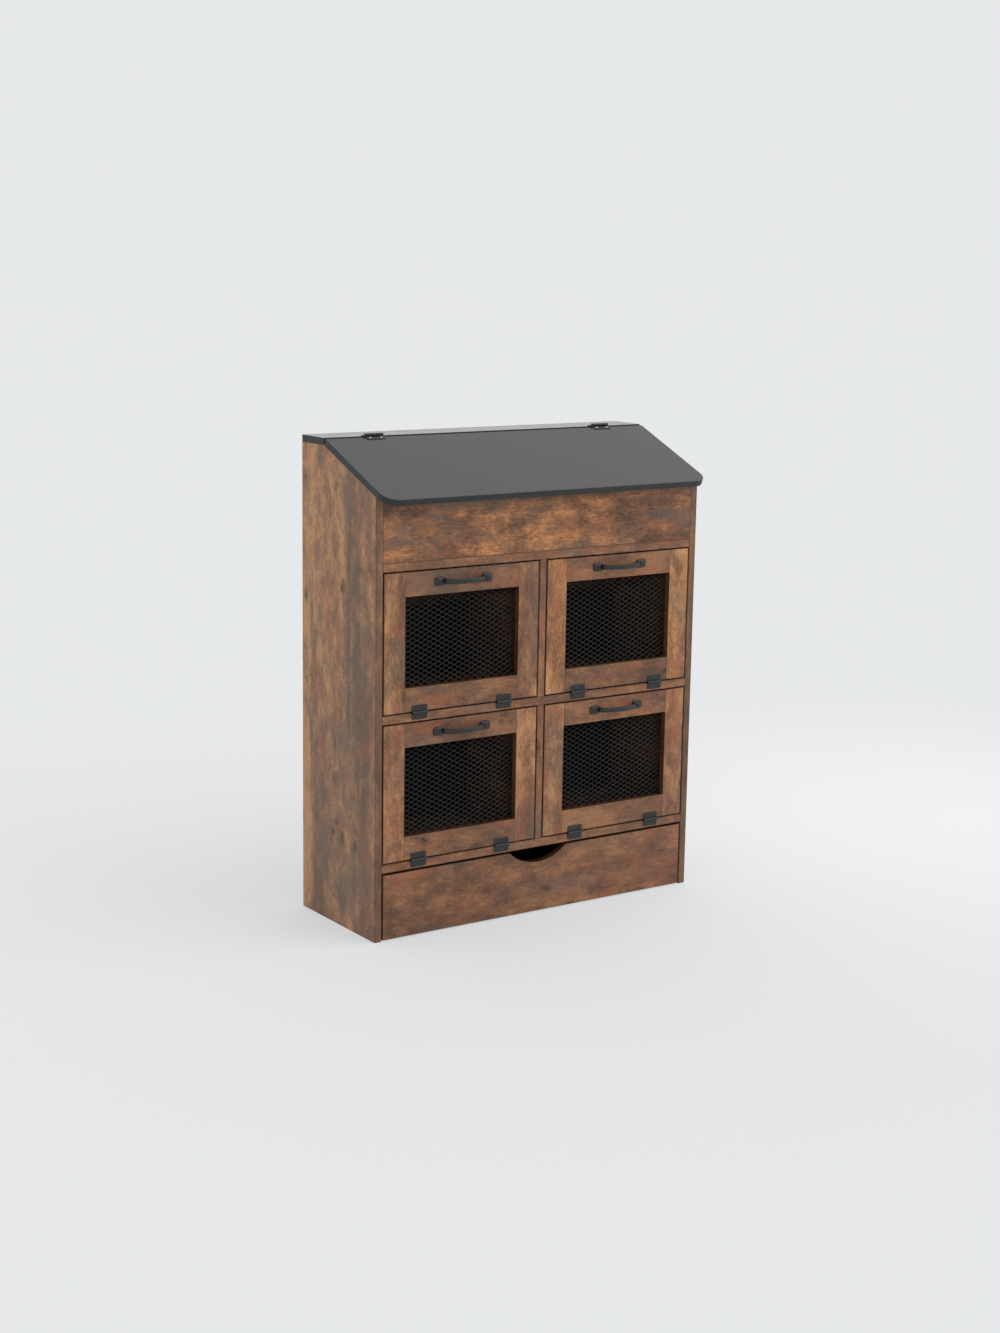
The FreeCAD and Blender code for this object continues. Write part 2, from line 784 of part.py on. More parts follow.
def slide_channel(side):
    """A channel on the inner face of one side panel, open towards the drawer."""
    low = "-slide_height / 2"
    high = "slide_height / 2"
    mouth = f"{-side} * slide_reach"
    web = f"{-side} * slide_sheet"
    corners = [
        ("0", low),
        (mouth, low),
        (mouth, f"{low} + slide_sheet"),
        (web, f"{low} + slide_sheet"),
        (web, f"{high} - slide_sheet"),
        (mouth, f"{high} - slide_sheet"),
        (mouth, high),
        ("0", high),
    ]
    body = new_body()
    pad(body, "XZ_Plane", corners, SLIDE_LENGTH)
    rear = f"{DRAWER_START} + slide_setback + {SLIDE_LENGTH}"
    return bind(body, x=f"{side} * {INNER}", y=rear, z=SLIDE_HEIGHT)


def slide_bar(side):
    """The bar on one side of the drawer, which runs in the channel."""
    height = "(slide_height - 2 * slide_sheet - 2 * slide_play)"
    edge = f"-{DRAWER_HALF} - slide_bar" if side < 0 else DRAWER_HALF
    return box(
        (edge, f"{DRAWER_START} + slide_setback", f"{SLIDE_HEIGHT} - {height} / 2"),
        ("slide_bar", f"{DRAWER_LENGTH} - slide_setback - drawer_wall", height),
    )


def drawer():
    """The bottom drawer and its slides."""
    drawer_front()
    drawer_box()
    name_node("drawer_slide_channels", group([slide_channel(side) for side in (-1, 1)]))
    name_node("drawer_slide_bars", group([slide_bar(side) for side in (-1, 1)]))


# ---------------------------------------------------------------- writing


def check_and_write():
    """Make sure that every object is sound, then write one file for each piece."""
    doc.recompute()
    for item in doc.Objects:
        if "Invalid" in item.State or "Error" in item.State:
            raise ValueError(f"{item.Label} is not sound")
    os.makedirs("parts", exist_ok=True)
    for item in nodes:
        shape = item.Shape
        if shape.isNull() or not shape.isValid():
            raise ValueError(f"{item.Label} has no valid shape")
        shape.exportStep(os.path.join("parts", f"{item.Label}.step"))
        print(f"{item.Label}: {len(shape.Solids)} solids, {shape.Volume / 1000:.1f} cm3")


def cabinet():
    """Build every piece, from the carcass to the drawer."""
    carcass()
    for step, label in enumerate(("lower", "middle")):
        shelf_hinges(label, step)
    lid()
    lid_hinges()
    for step, level in enumerate(("lower", "upper")):
        for side, hand in ((-1, "left"), (1, "right")):
            tilting_bin(f"{level}_{hand}_bin", side, step)
    drawer()


cabinet()
check_and_write()
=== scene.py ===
"""Looks of the tilt-out vegetable bin cabinet.

Printed brown timber laminate on the boards, a charcoal laminate worktop, black
expanded metal in the doors and black lacquered fittings, in a pale studio. All
sizes are in metres unless a name says millimetres, in the cabinet's own frame.
"""

import logging
import math
from collections.abc import Callable, Iterable, Sequence
from dataclasses import dataclass
from enum import Enum

import bmesh
import bpy
from mathutils import Matrix, Vector
from mathutils.geometry import tessellate_polygon

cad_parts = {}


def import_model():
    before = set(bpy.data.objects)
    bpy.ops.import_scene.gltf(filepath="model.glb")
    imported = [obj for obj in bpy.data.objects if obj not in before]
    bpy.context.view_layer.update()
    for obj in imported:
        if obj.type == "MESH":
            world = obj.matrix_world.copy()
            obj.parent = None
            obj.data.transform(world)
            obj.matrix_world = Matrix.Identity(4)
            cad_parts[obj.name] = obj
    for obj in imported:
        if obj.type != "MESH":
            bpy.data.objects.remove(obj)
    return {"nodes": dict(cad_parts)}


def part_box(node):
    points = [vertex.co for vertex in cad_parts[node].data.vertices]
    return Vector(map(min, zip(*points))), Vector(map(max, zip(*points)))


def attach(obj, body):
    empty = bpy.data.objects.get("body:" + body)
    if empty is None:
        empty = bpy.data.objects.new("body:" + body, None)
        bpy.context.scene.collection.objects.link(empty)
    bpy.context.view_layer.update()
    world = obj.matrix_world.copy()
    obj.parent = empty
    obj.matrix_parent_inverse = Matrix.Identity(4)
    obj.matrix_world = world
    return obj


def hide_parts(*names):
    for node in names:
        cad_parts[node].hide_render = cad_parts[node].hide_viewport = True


LOG = logging.getLogger("vegetable_bin_cabinet")
MM = 0.001

# Sockets of the mix node when it mixes colours.
MIX_FACTOR, MIX_A, MIX_B, MIX_RESULT = 0, 6, 7, 2

# Stretch of a pattern that runs the same way in every direction.
EVERY_WAY = (1.0, 1.0, 1.0)

Flat = tuple[float, float]
Point = tuple[float, float, float]
Colour = tuple[float, float, float, float]
Socket = bpy.types.NodeSocket
Outputs = bpy.types.bpy_prop_collection
NodeTree = bpy.types.NodeTree
Nodes = dict[str, bpy.types.Object]


class Axis(Enum):
    """An axis of the cabinet, such as the one that a board's grain runs along."""

    X = 0
    Y = 1
    Z = 2


class Side(Enum):
    """The left or right half of the cabinet, as seen from the front."""

    LEFT = "left"
    RIGHT = "right"


class Level(Enum):
    """The lower or upper pair of bins."""

    LOWER = "lower"
    UPPER = "upper"


class Rise(Enum):
    """How a mask rises from nothing to its full amount."""

    EVEN = "LINEAR"
    SOFT = "SMOOTHSTEP"


# ------------------------------------------------------------------ shared helpers


def colour(code: str) -> Colour:
    """Turn an sRGB hex value into a linear colour.

    Args:
        code: Six hex digits, with or without a leading hash sign.

    Returns:
        Red, green, blue and alpha, linear.
    """
    digits = code.lstrip("#")
    parts = [int(digits[i : i + 2], 16) / 255 for i in (0, 2, 4)]
    red, green, blue = (p / 12.92 if p <= 0.04045 else ((p + 0.055) / 1.055) ** 2.4 for p in parts)
    return (red, green, blue, 1.0)


def add_node(
    tree: NodeTree, kind: str, settings: dict | None = None, links: dict | None = None
) -> Outputs:
    """Add a shader node with its settings and links.

    Args:
        tree: The node tree that the node joins.
        kind: The node's type after "ShaderNode", such as TexNoise.
        settings: Values by property or input name, or by input number. "stops"
            holds a colour ramp's positions and colours.
        links: Output sockets by the input that they feed.

    Returns:
        The new node's outputs.
    """
    node = tree.nodes.new(f"ShaderNode{kind}")
    for key, value in (settings or {}).items():
        if key == "stops":
            elements = node.color_ramp.elements
            while len(elements) < len(value):
                elements.new(1.0)
            for element, (place, shade) in zip(elements, value):
                element.position, element.color = place, shade
        elif isinstance(key, str) and hasattr(node, key):
            setattr(node, key, value)
        else:
            node.inputs[key].default_value = value
    for key, socket in (links or {}).items():
        tree.links.new(socket, node.inputs[key])
    return node.outputs


def add_patterns(tree: NodeTree, place: Socket, patterns: Iterable[Sequence]) -> list[Socket]:
    """Draw noise patterns of real sizes.

    Args:
        tree: The material's node tree.
        place: The place in the patterns.
        patterns: Of each one, its size in millimetres, how the place is
            stretched, its detail, roughness and distortion.

    Returns:
        The grey value of each pattern.
    """
    found: list[Socket] = []
    for size_mm, stretch, detail, rough, bend in patterns:
        drawn = add_node(tree, "Mapping", {"Scale": stretch}, {"Vector": place})["Vector"]
        settings = {"Scale": 1 / (size_mm * MM), "Detail": detail, "Roughness": rough, "Distortion": bend}
        found.append(add_node(tree, "TexNoise", settings, {"Vector": drawn})["Fac"])
    return found


def lay_over(
    tree: NodeTree, ground: Socket | Colour, layers: Iterable[Sequence], rise: Rise = Rise.EVEN
) -> Socket:
    """Lay colours over a ground, each through its own mask.

    Args:
        tree: The material's node tree.
        ground: The colour under them all.
        layers: Of each one, its hex colour, its mask, the mask's values where it
            starts and where it is full, and the amount where it is full.
        rise: How the amount rises between those values.

    Returns:
        The colour of the whole.
    """
    for over, mask, start, full, amount in layers:
        spread = {"interpolation_type": rise.value, "From Min": start, "From Max": full, "To Max": amount}
        share = add_node(tree, "MapRange", spread, {"Value": mask})["Result"]
        settings, links = {"data_type": "RGBA", MIX_B: colour(over)}, {MIX_FACTOR: share}
        (links if isinstance(ground, Socket) else settings)[MIX_A] = ground
        ground = add_node(tree, "Mix", settings, links)[MIX_RESULT]
    return ground


def add_surface(
    tree: NodeTree, settings: dict, shade: Socket, dull: Socket, relief: Socket, bump: tuple[float, float]
) -> None:
    """End a material's nodes in a surface.

    Args:
        tree: The material's node tree.
        settings: The surface's constants, by input name.
        shade: Its colour.
        dull: Its roughness.
        relief: Height of its fine relief, from 0 to 1.
        bump: The relief's strength, and its depth in millimetres.
    """
    raised = {"Strength": bump[0], "Distance": bump[1] * MM}
    normal = add_node(tree, "Bump", raised, {"Height": relief})["Normal"]
    links = {"Base Color": shade, "Roughness": dull, "Normal": normal}
    surface = add_node(tree, "BsdfPrincipled", settings, links)["BSDF"]
    add_node(tree, "OutputMaterial", {}, {"Surface": surface})


def seen_directly(tree: NodeTree) -> Socket:
    """Tell the rays that show a backdrop from those that only light the scene.

    Args:
        tree: The node tree that asks.

    Returns:
        1 for what the camera sees, also in a glossy face or through glass, or 0.
    """
    path = add_node(tree, "LightPath")
    seen = path["Is Camera Ray"]
    for kind in ("Is Glossy Ray", "Is Transmission Ray"):
        seen = add_node(tree, "Math", {"operation": "MAXIMUM"}, {0: seen, 1: path[kind]})["Value"]
    return seen


def new_material(name: str) -> tuple[bpy.types.Material, NodeTree]:
    """Make an empty node material.

    Args:
        name: The material's name.

    Returns:
        The material and its cleared node tree.
    """
    material = bpy.data.materials.new(name)
    material.use_nodes = True
    material.node_tree.nodes.clear()
    return material, material.node_tree


def dress(piece: bpy.types.Object, material: bpy.types.Material) -> None:
    """Give a piece one material in all its slots."""
    piece.data.materials.clear()
    piece.data.materials.append(material)


def ease_edges(piece: bpy.types.Object, width: float) -> None:
    """Round a fixed board's edges with modifiers, which leave its mesh alone.

    Args:
        piece: The object to ease.
        width: Width of the rounding, in metres.
    """
    weld = piece.modifiers.new("Weld", "WELD")
    weld.merge_threshold = 0.01 * MM
    bevel = piece.modifiers.new("EasedEdges", "BEVEL")
    bevel.width = width
    bevel.segments = 2
    bevel.limit_method = "ANGLE"
    bevel.angle_limit = math.radians(40)
    bevel.miter_outer = "MITER_ARC"


def mesh_object(
    name: str,
    points: Sequence[Sequence[float]],
    faces: Iterable[Sequence[int]],
    material: bpy.types.Material,
    smooth: bool = False,
) -> bpy.types.Object:
    """Make a mesh object in the scene.

    Args:
        name: Name of the piece.
        points: Vertex places.
        faces: Vertex numbers of each face.
        material: Its one material.
        smooth: True for smooth shading.

    Returns:
        The new object, at the origin.
    """
    mesh = bpy.data.meshes.new(name)
    mesh.from_pydata([tuple(p) for p in points], [], [tuple(f) for f in faces])
    mesh.validate()
    mesh.polygons.foreach_set("use_smooth", [smooth] * len(mesh.polygons))
    item = bpy.data.objects.new(name, mesh)
    bpy.context.scene.collection.objects.link(item)
    dress(item, material)
    return item


# ------------------------------------------------------------------ finishes


class PrintTone(Enum):
    """How light and warm a board's stretch of the print is.

    Five colours from its darkest clouds to its lightest patches: a twentieth of
    the board is darker than the first one, a quarter darker than the second, half
    darker than the third, and so on. The paler tone of the side panels is partly
    painted light, and the dark tones inside the bins are painted shade.
    """

    LIVELY = ("#553420", "#764B2C", "#8B5C3A", "#A56D42", "#CA864E")
    QUIET = ("#583924", "#6B4830", "#795136", "#885C3D", "#9C6C47")
    WARM = ("#6B472D", "#815638", "#926342", "#A3724C", "#BA8759")
    HONEY = ("#7D5232", "#9C6A3D", "#B07A4D", "#BE8656", "#D19964")
    # Paler, for the side panels: partly the print and partly painted light on the sides.
    PALE = ("#664934", "#7D5B40", "#8D6647", "#A2744F", "#BD8A58")
    # Darker, for the walls and floor inside a bin: painted shade.
    INNER = ("#4A3220", "#5C3E29", "#6A4931", "#795339", "#8B6243")
    # Near black, for a bin's back: painted shade inside the bin.
    DEEP = ("#0E0A08", "#120D0A", "#150F0C", "#19120F", "#201813")


# Where the five colours of a tone lie between its darkest and its lightest.
TONE_STOPS = (0.0, 0.295, 0.5, 0.705, 1.0)


@dataclass(frozen=True)
class TimberLaminate:
    """Melamine laminate on chipboard, printed as aged brown timber.

    The print is what the eye sees: soft clouds and bands drawn out along the
    grain, a fine mottle and streaks over them, dark pores and a few small knots,
    under a satin resin face that hazes at a slant. The narrow faces carry a strip
    of the same print, and each board is outlined by the dark line where the
    laminate was trimmed. The pores and fibres are drawn about three times as
    coarse as real ones, which would be too fine to show.

    grain and through are the axes that the grain runs along and that goes through
    the board's thickness, and low and high are the board's corners.
    """

    name: str
    grain: Axis
    through: Axis
    cut: Point
    low: Point
    high: Point
    tone: PrintTone = PrintTone.QUIET
    grey: str = "#5E5145"
    knot: str = "#2B1D15"
    ring: str = "#54351F"
    trim: str = "#3A2114"
    edge_band: str = "#6A4026"
    edge_share: float = 0.15
    warm: str = "#9C5634"
    band_mm: float = 60.0
    band_share: float = 0.22
    band_weight: float = 0.25
    grey_amount: float = 0.65
    cloud_mm: float = 100.0
    mottle_mm: float = 24.0
    speckle_mm: float = 4.5
    streak_mm: float = 2.8
    fibre_mm: float = 0.8
    pore_mm: float = 1.2
    knot_mm: float = 62.0
    trim_mm: float = 1.6
    tone_spread: float = 0.062
    gloss: float = 0.5
    large_weight: float = 0.56

    def stretch(self, share: float) -> Point:
        """Scale that draws a pattern out along the grain to 1 / share."""
        x, y, z = (share if axis == self.grain.value else 1.0 for axis in range(3))
        return (x, y, z)

    def patterns(self, tree: NodeTree, place: Socket) -> dict[str, Socket]:
        """Lay out the patterns of the print, and their sums by weight.

        Args:
            tree: The material's node tree.
            place: The place in the print.

        Returns:
            The grey value of each pattern and sum, by name.
        """
        # Size in millimetres, share along the grain, detail, roughness, distortion.
        noises = {
            "bands": (self.band_mm, self.band_share, 3.0, 0.55, 0.4),
            "clouds": (self.cloud_mm, 0.55, 6.0, 0.66, 0.7),
            "mottle": (self.mottle_mm, 0.55, 5.0, 0.62, 0.3),
            "speckle": (self.speckle_mm, 0.6, 3.0, 0.6, 0.0),
            "streaks": (self.streak_mm, 0.035, 4.0, 0.6, 0.1),
            "fibres": (self.fibre_mm, 0.045, 3.0, 0.6, 0.0),
            "pores": (self.pore_mm, 0.09, 2.0, 0.5, 0.0),
            "ruddy": (self.cloud_mm * 0.35, 0.4, 4.0, 0.6, 0.4),
            "weathered": (self.cloud_mm * 0.7, 0.4, 5.0, 0.6, 0.6),
        }
        rows = [(size, self.stretch(share), *rest) for size, share, *rest in noises.values()]
        found = dict(zip(noises, add_patterns(tree, place, rows)))
        drawn = add_node(tree, "Mapping", {"Scale": self.stretch(0.6)}, {"Vector": place})["Vector"]
        size = {"Scale": 1 / (self.knot_mm * MM)}
        found["cells"] = add_node(tree, "TexVoronoi", size, {"Vector": drawn})["Distance"]
        sums = {
            "depth": {
                "bands": self.band_weight,
                "clouds": self.large_weight - self.band_weight,
                "mottle": 0.25,
                "speckle": 0.13,
                "streaks": 0.06,
            },
            "knots": {"cells": 1.0, "speckle": 0.3},
            "relief": {"pores": 0.6, "fibres": 0.4},
        }
        for name, parts in sums.items():
            links: dict[int, Socket] = {}
            for part, weight in parts.items():
                links[0] = found[part]
                settings = {"operation": "MULTIPLY_ADD", 1: weight, 2: 0.0}
                links[2] = add_node(tree, "Math", settings, links)["Value"]
            found[name] = links[2]
        return found

    def edges(self, tree: NodeTree, place: Outputs) -> tuple[Socket, Socket]:
        """Find the board's narrow faces and its trimmed edges.

        Args:
            tree: The material's node tree.
            place: The outputs of the texture coordinates.

        Returns:
            How squarely the face looks through the board, which is 1 on a wide
            face and 0 on a narrow one, and the distance to the nearest edge.
        """
        normal = add_node(tree, "VectorMath", {"operation": "ABSOLUTE"}, {0: place["Normal"]})["Vector"]
        looks = add_node(tree, "SeparateXYZ", {}, {"Vector": normal})
        middle = tuple((a + b) / 2 for a, b in zip(self.low, self.high))
        half = tuple((b - a) / 2 for a, b in zip(self.low, self.high))
        # How deep the point lies inside the board's box on each axis. The normal
        # takes the axis that the face itself looks along out of the comparison.
        depth = place["Object"]
        for operation, entry, settings, links in (
            ("SUBTRACT", 0, {1: middle}, {}),
            ("ABSOLUTE", 0, {}, {}),
            ("SUBTRACT", 1, {0: half}, {}),
            ("ADD", 0, {}, {1: normal}),
        ):
            settings = {"operation": operation, **settings}
            depth = add_node(tree, "VectorMath", settings, {entry: depth, **links})["Vector"]
        along = add_node(tree, "SeparateXYZ", {}, {"Vector": depth})
        near = along["X"]
        for axis in ("Y", "Z"):
            near = add_node(tree, "Math", {"operation": "MINIMUM"}, {0: near, 1: along[axis]})["Value"]
        return looks[self.through.value], near

    def build(self) -> bpy.types.Material:
        """Build the material.

        Returns:
            The laminate for one board, cut at its own place in the print.
        """
        material, tree = new_material(self.name)
        place = add_node(tree, "TexCoord")
        shifted = add_node(tree, "Mapping", {"Location": self.cut}, {"Vector": place["Object"]})["Vector"]
        found = self.patterns(tree, shifted)
        square, near = self.edges(tree, place)
        spread = {"From Min": 0.5 - self.tone_spread, "From Max": 0.5 + self.tone_spread}
        level = add_node(tree, "MapRange", spread, {"Value": found["depth"]})["Result"]
        stops = list(zip(TONE_STOPS, (colour(code) for code in self.tone.value)))
        shade = add_node(tree, "ValToRGB", {"stops": stops}, {"Fac": level})["Color"]

        # What is printed over the ground: redder and greyed patches, dark and pale
        # fibres, pores, knots in a brown ring, the edge band and the trimmed line.
        trim, lightest = self.trim_mm * MM, self.tone.value[-1]
        layers = (
            (self.warm, found["ruddy"], 0.5, 0.66, 0.5),
            (self.grey, found["weathered"], 0.5, 0.68, self.grey_amount),
            (self.knot, found["fibres"], 0.5, 0.72, 0.4),
            (lightest, found["fibres"], 0.48, 0.3, 0.3),
            (self.knot, found["pores"], 0.6, 0.72, 0.5),
            (self.ring, found["knots"], 0.36, 0.22, 0.6),
            (self.knot, found["knots"], 0.245, 0.19, 0.7),
            (self.edge_band, square, 0.6, 0.3, self.edge_share),
            (self.trim, near, trim, 0.4 * trim, 0.7),
        )
        shade = lay_over(tree, shade, layers, Rise.SOFT)
        spread = {"interpolation_type": Rise.SOFT.value, "From Min": 0.2, "From Max": 0.8}
        spread |= {"To Min": 0.4, "To Max": 0.52}
        dull = add_node(tree, "MapRange", spread, {"Value": found["streaks"]})["Result"]
        settings = {"IOR": 1.5, "Specular IOR Level": self.gloss}
        add_surface(tree, settings, shade, dull, found["relief"], (0.25, 0.15))
        return material


@dataclass(frozen=True)
class Hardboard:
    """Thin brown hardboard, pressed from wood fibre on a wire screen.

    Its front is smooth and its back shows the weave of the screen, which is drawn
    at its real spacing and only shows close up. Short pale and dark fibres lie in
    every direction.
    """

    name: str
    ground: str = "#765842"
    fibre: str = "#94745A"
    dark: str = "#523A2A"
    fibre_mm: float = 3.0
    patch_mm: float = 70.0
    screen_mm: float = 2.4

    def build(self) -> bpy.types.Material:
        """Build the material.

        Returns:
            The hardboard.
        """
        material, tree = new_material(self.name)
        place = add_node(tree, "TexCoord")["Object"]
        noises = (
            (self.fibre_mm, (1.0, 1.0, 0.25), 4.0, 0.65, 0.0),
            (self.fibre_mm, (0.25, 1.0, 1.0), 4.0, 0.65, 0.0),
            (self.patch_mm, EVERY_WAY, 4.0, 0.55, 0.0),
        )
        upright, lying, patches = add_patterns(tree, place, noises)
        layers = (
            (self.fibre, upright, 0.48, 0.66, 0.5),
            (self.dark, lying, 0.48, 0.66, 0.5),
            (self.dark, patches, 0.4, 1.0, 0.5),
        )
        shade = lay_over(tree, colour(self.ground), layers)
        # At a scale of 1, the bands of a wave are pi / 10 metres apart.
        size = {"Scale": math.pi / (10 * self.screen_mm * MM), "Distortion": 0.4}
        wires = {
            i: add_node(tree, "TexWave", {"bands_direction": way, **size}, {"Vector": place})["Fac"]
            for i, way in enumerate(("X", "Z"))
        }
        weave = add_node(tree, "Math", {"operation": "MULTIPLY"}, wires)["Value"]
        spread = {"From Min": 0.3, "From Max": 0.7, "To Min": 0.62, "To Max": 0.78}
        dull = add_node(tree, "MapRange", spread, {"Value": upright})["Result"]
        add_surface(tree, {"IOR": 1.5}, shade, dull, weave, (0.35, 0.2))
        return material


@dataclass(frozen=True)
class WorktopLaminate:
    """Charcoal melamine laminate with a fine pressed texture.

    Dark by itself, it reads as mid grey because the satin face picks up the
    pale room at a slant. Its edges carry a darker, duller band, darker partly as
    painted shade.
    """

    name: str
    face: Point
    ground: str = "#343735"
    mottle: str = "#3B3E3C"
    fleck: str = "#484B49"
    # Darker than the ground: partly the edge's own colour and partly painted shade.
    edge_band: str = "#1F2322"
    grit_mm: float = 0.9
    mottle_mm: float = 35.0
    edge_dullness: float = 0.35

    def build(self) -> bpy.types.Material:
        """Build the material.

        Returns:
            The worktop laminate, for a board whose face looks along self.face.
        """
        material, tree = new_material(self.name)
        place = add_node(tree, "TexCoord")
        noises = ((self.mottle_mm, EVERY_WAY, 5.0, 0.6, 0.0), (self.grit_mm, EVERY_WAY, 2.0, 0.6, 0.0))
        cloudy, grit = add_patterns(tree, place["Object"], noises)
        dot = {"operation": "DOT_PRODUCT", 1: self.face}
        turned = add_node(tree, "VectorMath", dot, {0: place["Normal"]})["Value"]
        square = add_node(tree, "Math", {"operation": "ABSOLUTE"}, {0: turned})["Value"]
        layers = (
            (self.mottle, cloudy, 0.0, 1.0, 1.0),
            (self.fleck, grit, 0.5, 0.75, 0.5),
            # The narrow faces take the darker edge band, partly painted shade.
            (self.edge_band, square, 0.6, 0.3, 1.0),
        )
        shade = lay_over(tree, colour(self.ground), layers)
        spread = {"From Min": 0.3, "From Max": 0.7, "To Min": 0.14, "To Max": 0.2}
        dull = add_node(tree, "MapRange", spread, {"Value": cloudy})["Result"]
        spread = {"From Min": 0.6, "From Max": 0.3, "To Max": self.edge_dullness}
        duller = add_node(tree, "MapRange", spread, {"Value": square})["Result"]
        dull = add_node(tree, "Math", {"operation": "ADD"}, {0: dull, 1: duller})["Value"]
        add_surface(tree, {"IOR": 1.5}, shade, dull, grit, (0.15, 0.1))
        return material


@dataclass(frozen=True)
class CoatedSteel:
    """Steel under a coat or a plating: lacquer, powder, nickel or zinc.

    What shows is the coat's own colour and a fine orange-peel or brushed
    unevenness, which spreads the highlights.
    """

    name: str
    ground: str
    worn: str
    roughness: float
    metallic: float
    peel_mm: float = 1.5
    gloss: float = 0.5
    unevenness: float = 0.06

    def build(self) -> bpy.types.Material:
        """Build the material.

        Returns:
            The coated steel.
        """
        material, tree = new_material(self.name)
        place = add_node(tree, "TexCoord")["Object"]
        peel = add_patterns(tree, place, [(self.peel_mm, EVERY_WAY, 3.0, 0.55, 0.0)])[0]
        shade = lay_over(tree, colour(self.ground), [(self.worn, peel, 0.0, 1.0, 1.0)])
        spread = {
            "From Min": 0.3,
            "From Max": 0.7,
            "To Min": self.roughness - self.unevenness,
            "To Max": self.roughness + self.unevenness,
        }
        dull = add_node(tree, "MapRange", spread, {"Value": peel})["Result"]
        settings = {"Metallic": self.metallic, "IOR": 1.5, "Specular IOR Level": self.gloss}
        add_surface(tree, settings, shade, dull, peel, (0.2, 0.05))
        return material


@dataclass(frozen=True)
class StudioPaper:
    """Matt pale studio paper, which keeps the cabinet's soft shadow.

    Seen by the camera or in a glossy face, part of its paleness comes from the
    paper's own colour at full strength, so that it reads as pale as the backdrop.
    Both are painted a little paler in a pool of painted light near the lamp's
    side of the cabinet.
    """

    name: str = "pale_studio_paper"
    ground: str = "#E9EBEC"
    ground_in_painted_light: str = "#F2F4F5"
    backdrop: str = "#EAECED"
    backdrop_in_painted_light: str = "#F7F8F9"
    backdrop_share: float = 0.5
    painted_light_pool: Point = (1.1, -0.1, 0.0)
    painted_light_pool_reach: float = 1.5
    fibre_mm: float = 2.5

    def build(self) -> bpy.types.Material:
        """Build the material.

        Returns:
            The paper.
        """
        material, tree = new_material(self.name)
        partly = {"operation": "MULTIPLY", 1: self.backdrop_share}
        share = add_node(tree, "Math", partly, {0: seen_directly(tree)})["Value"]
        place = add_node(tree, "TexCoord")["Object"]
        apart = {"operation": "DISTANCE", 1: self.painted_light_pool}
        away = add_node(tree, "VectorMath", apart, {0: place})["Value"]
        # Painted light: the paper and its backdrop turn paler towards the pool near the lamp's side.
        shade, pale = (
            lay_over(tree, colour(far), [(near, away, self.painted_light_pool_reach, 0.0, 1.0)], Rise.SOFT)
            for far, near in (
                (self.ground, self.ground_in_painted_light),
                (self.backdrop, self.backdrop_in_painted_light),
            )
        )
        fibre = add_patterns(tree, place, [(self.fibre_mm, EVERY_WAY, 3.0, 0.5, 0.0)])[0]
        raised = {"Strength": 0.05, "Distance": 0.1 * MM}
        normal = add_node(tree, "Bump", raised, {"Height": fibre})["Normal"]
        settings = {"Roughness": 0.9, "Specular IOR Level": 0.1}
        links = {"Base Color": shade, "Normal": normal}
        surface = add_node(tree, "BsdfPrincipled", settings, links)["BSDF"]
        glow = add_node(tree, "Emission", {}, {"Color": pale})["Emission"]
        both = add_node(tree, "MixShader", {}, {0: share, 1: surface, 2: glow})["Shader"]
        add_node(tree, "OutputMaterial", {}, {"Surface": both})
        return material


# ------------------------------------------------------------------ fittings


def ring_faces(rings: int, count: int) -> list[tuple[int, ...]]:
    """Join rings of points by a skin that is open at both ends.

    Args:
        rings: How many rings there are.
        count: Points in each ring.

    Returns:
        The point numbers of each face.
    """
    return [
        (low + i, low + (i + 1) % count, low + count + (i + 1) % count, low + count + i)
        for low in range(0, (rings - 1) * count, count)
        for i in range(count)
    ]


def corner_arc(middle: Flat, radius: float, quarter: int, steps: int = 6) -> list[Flat]:
    """Round off a corner of an outline.

    Args:
        middle: Centre of the arc.
        radius: Its radius.
        quarter: Which quarter of the circle it fills, counted from the first axis.
        steps: Straight pieces in it.

    Returns:
        The arc's points, counter-clockwise.
    """
    angles = [math.pi / 2 * (quarter + i / steps) for i in range(steps + 1)]
    return [(middle[0] + radius * math.cos(a), middle[1] + radius * math.sin(a)) for a in angles]


def rounded_rectangle(width: float, height: float, corner: float) -> list[Flat]:
    """Outline of a rectangle with rounded corners, about the origin.

    Args:
        width: Its whole width.
        height: Its whole height.
        corner: Radius of the corners.

    Returns:
        The outline, counter-clockwise.
    """
    outline: list[Flat] = []
    for quarter, (sx, sy) in enumerate(((1, 1), (-1, 1), (-1, -1), (1, -1))):
        middle = (sx * (width / 2 - corner), sy * (height / 2 - corner))
        outline += corner_arc(middle, corner, quarter)
    return outline


def facing(place: Sequence[float], normal: Sequence[float]) -> Matrix:
    """Matrix that stands something on a surface.

    Args:
        place: Where it stands.
        normal: The way out of the surface.

    Returns:
        The matrix, with its Z axis along the normal.
    """
    return Matrix.Translation(place) @ Vector(normal).to_track_quat("Z", "Y").to_matrix().to_4x4()


def fit(piece: bpy.types.Object, body: str, slot: str, *nodes: str) -> None:
    """Make a piece ride on a body and stand for some of its nodes.

    Args:
        piece: The piece.
        body: Name of the body that carries it.
        slot: Not used.
        nodes: The nodes that it stands for.
    """
    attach(piece, body)
    if nodes:
        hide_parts(*nodes)


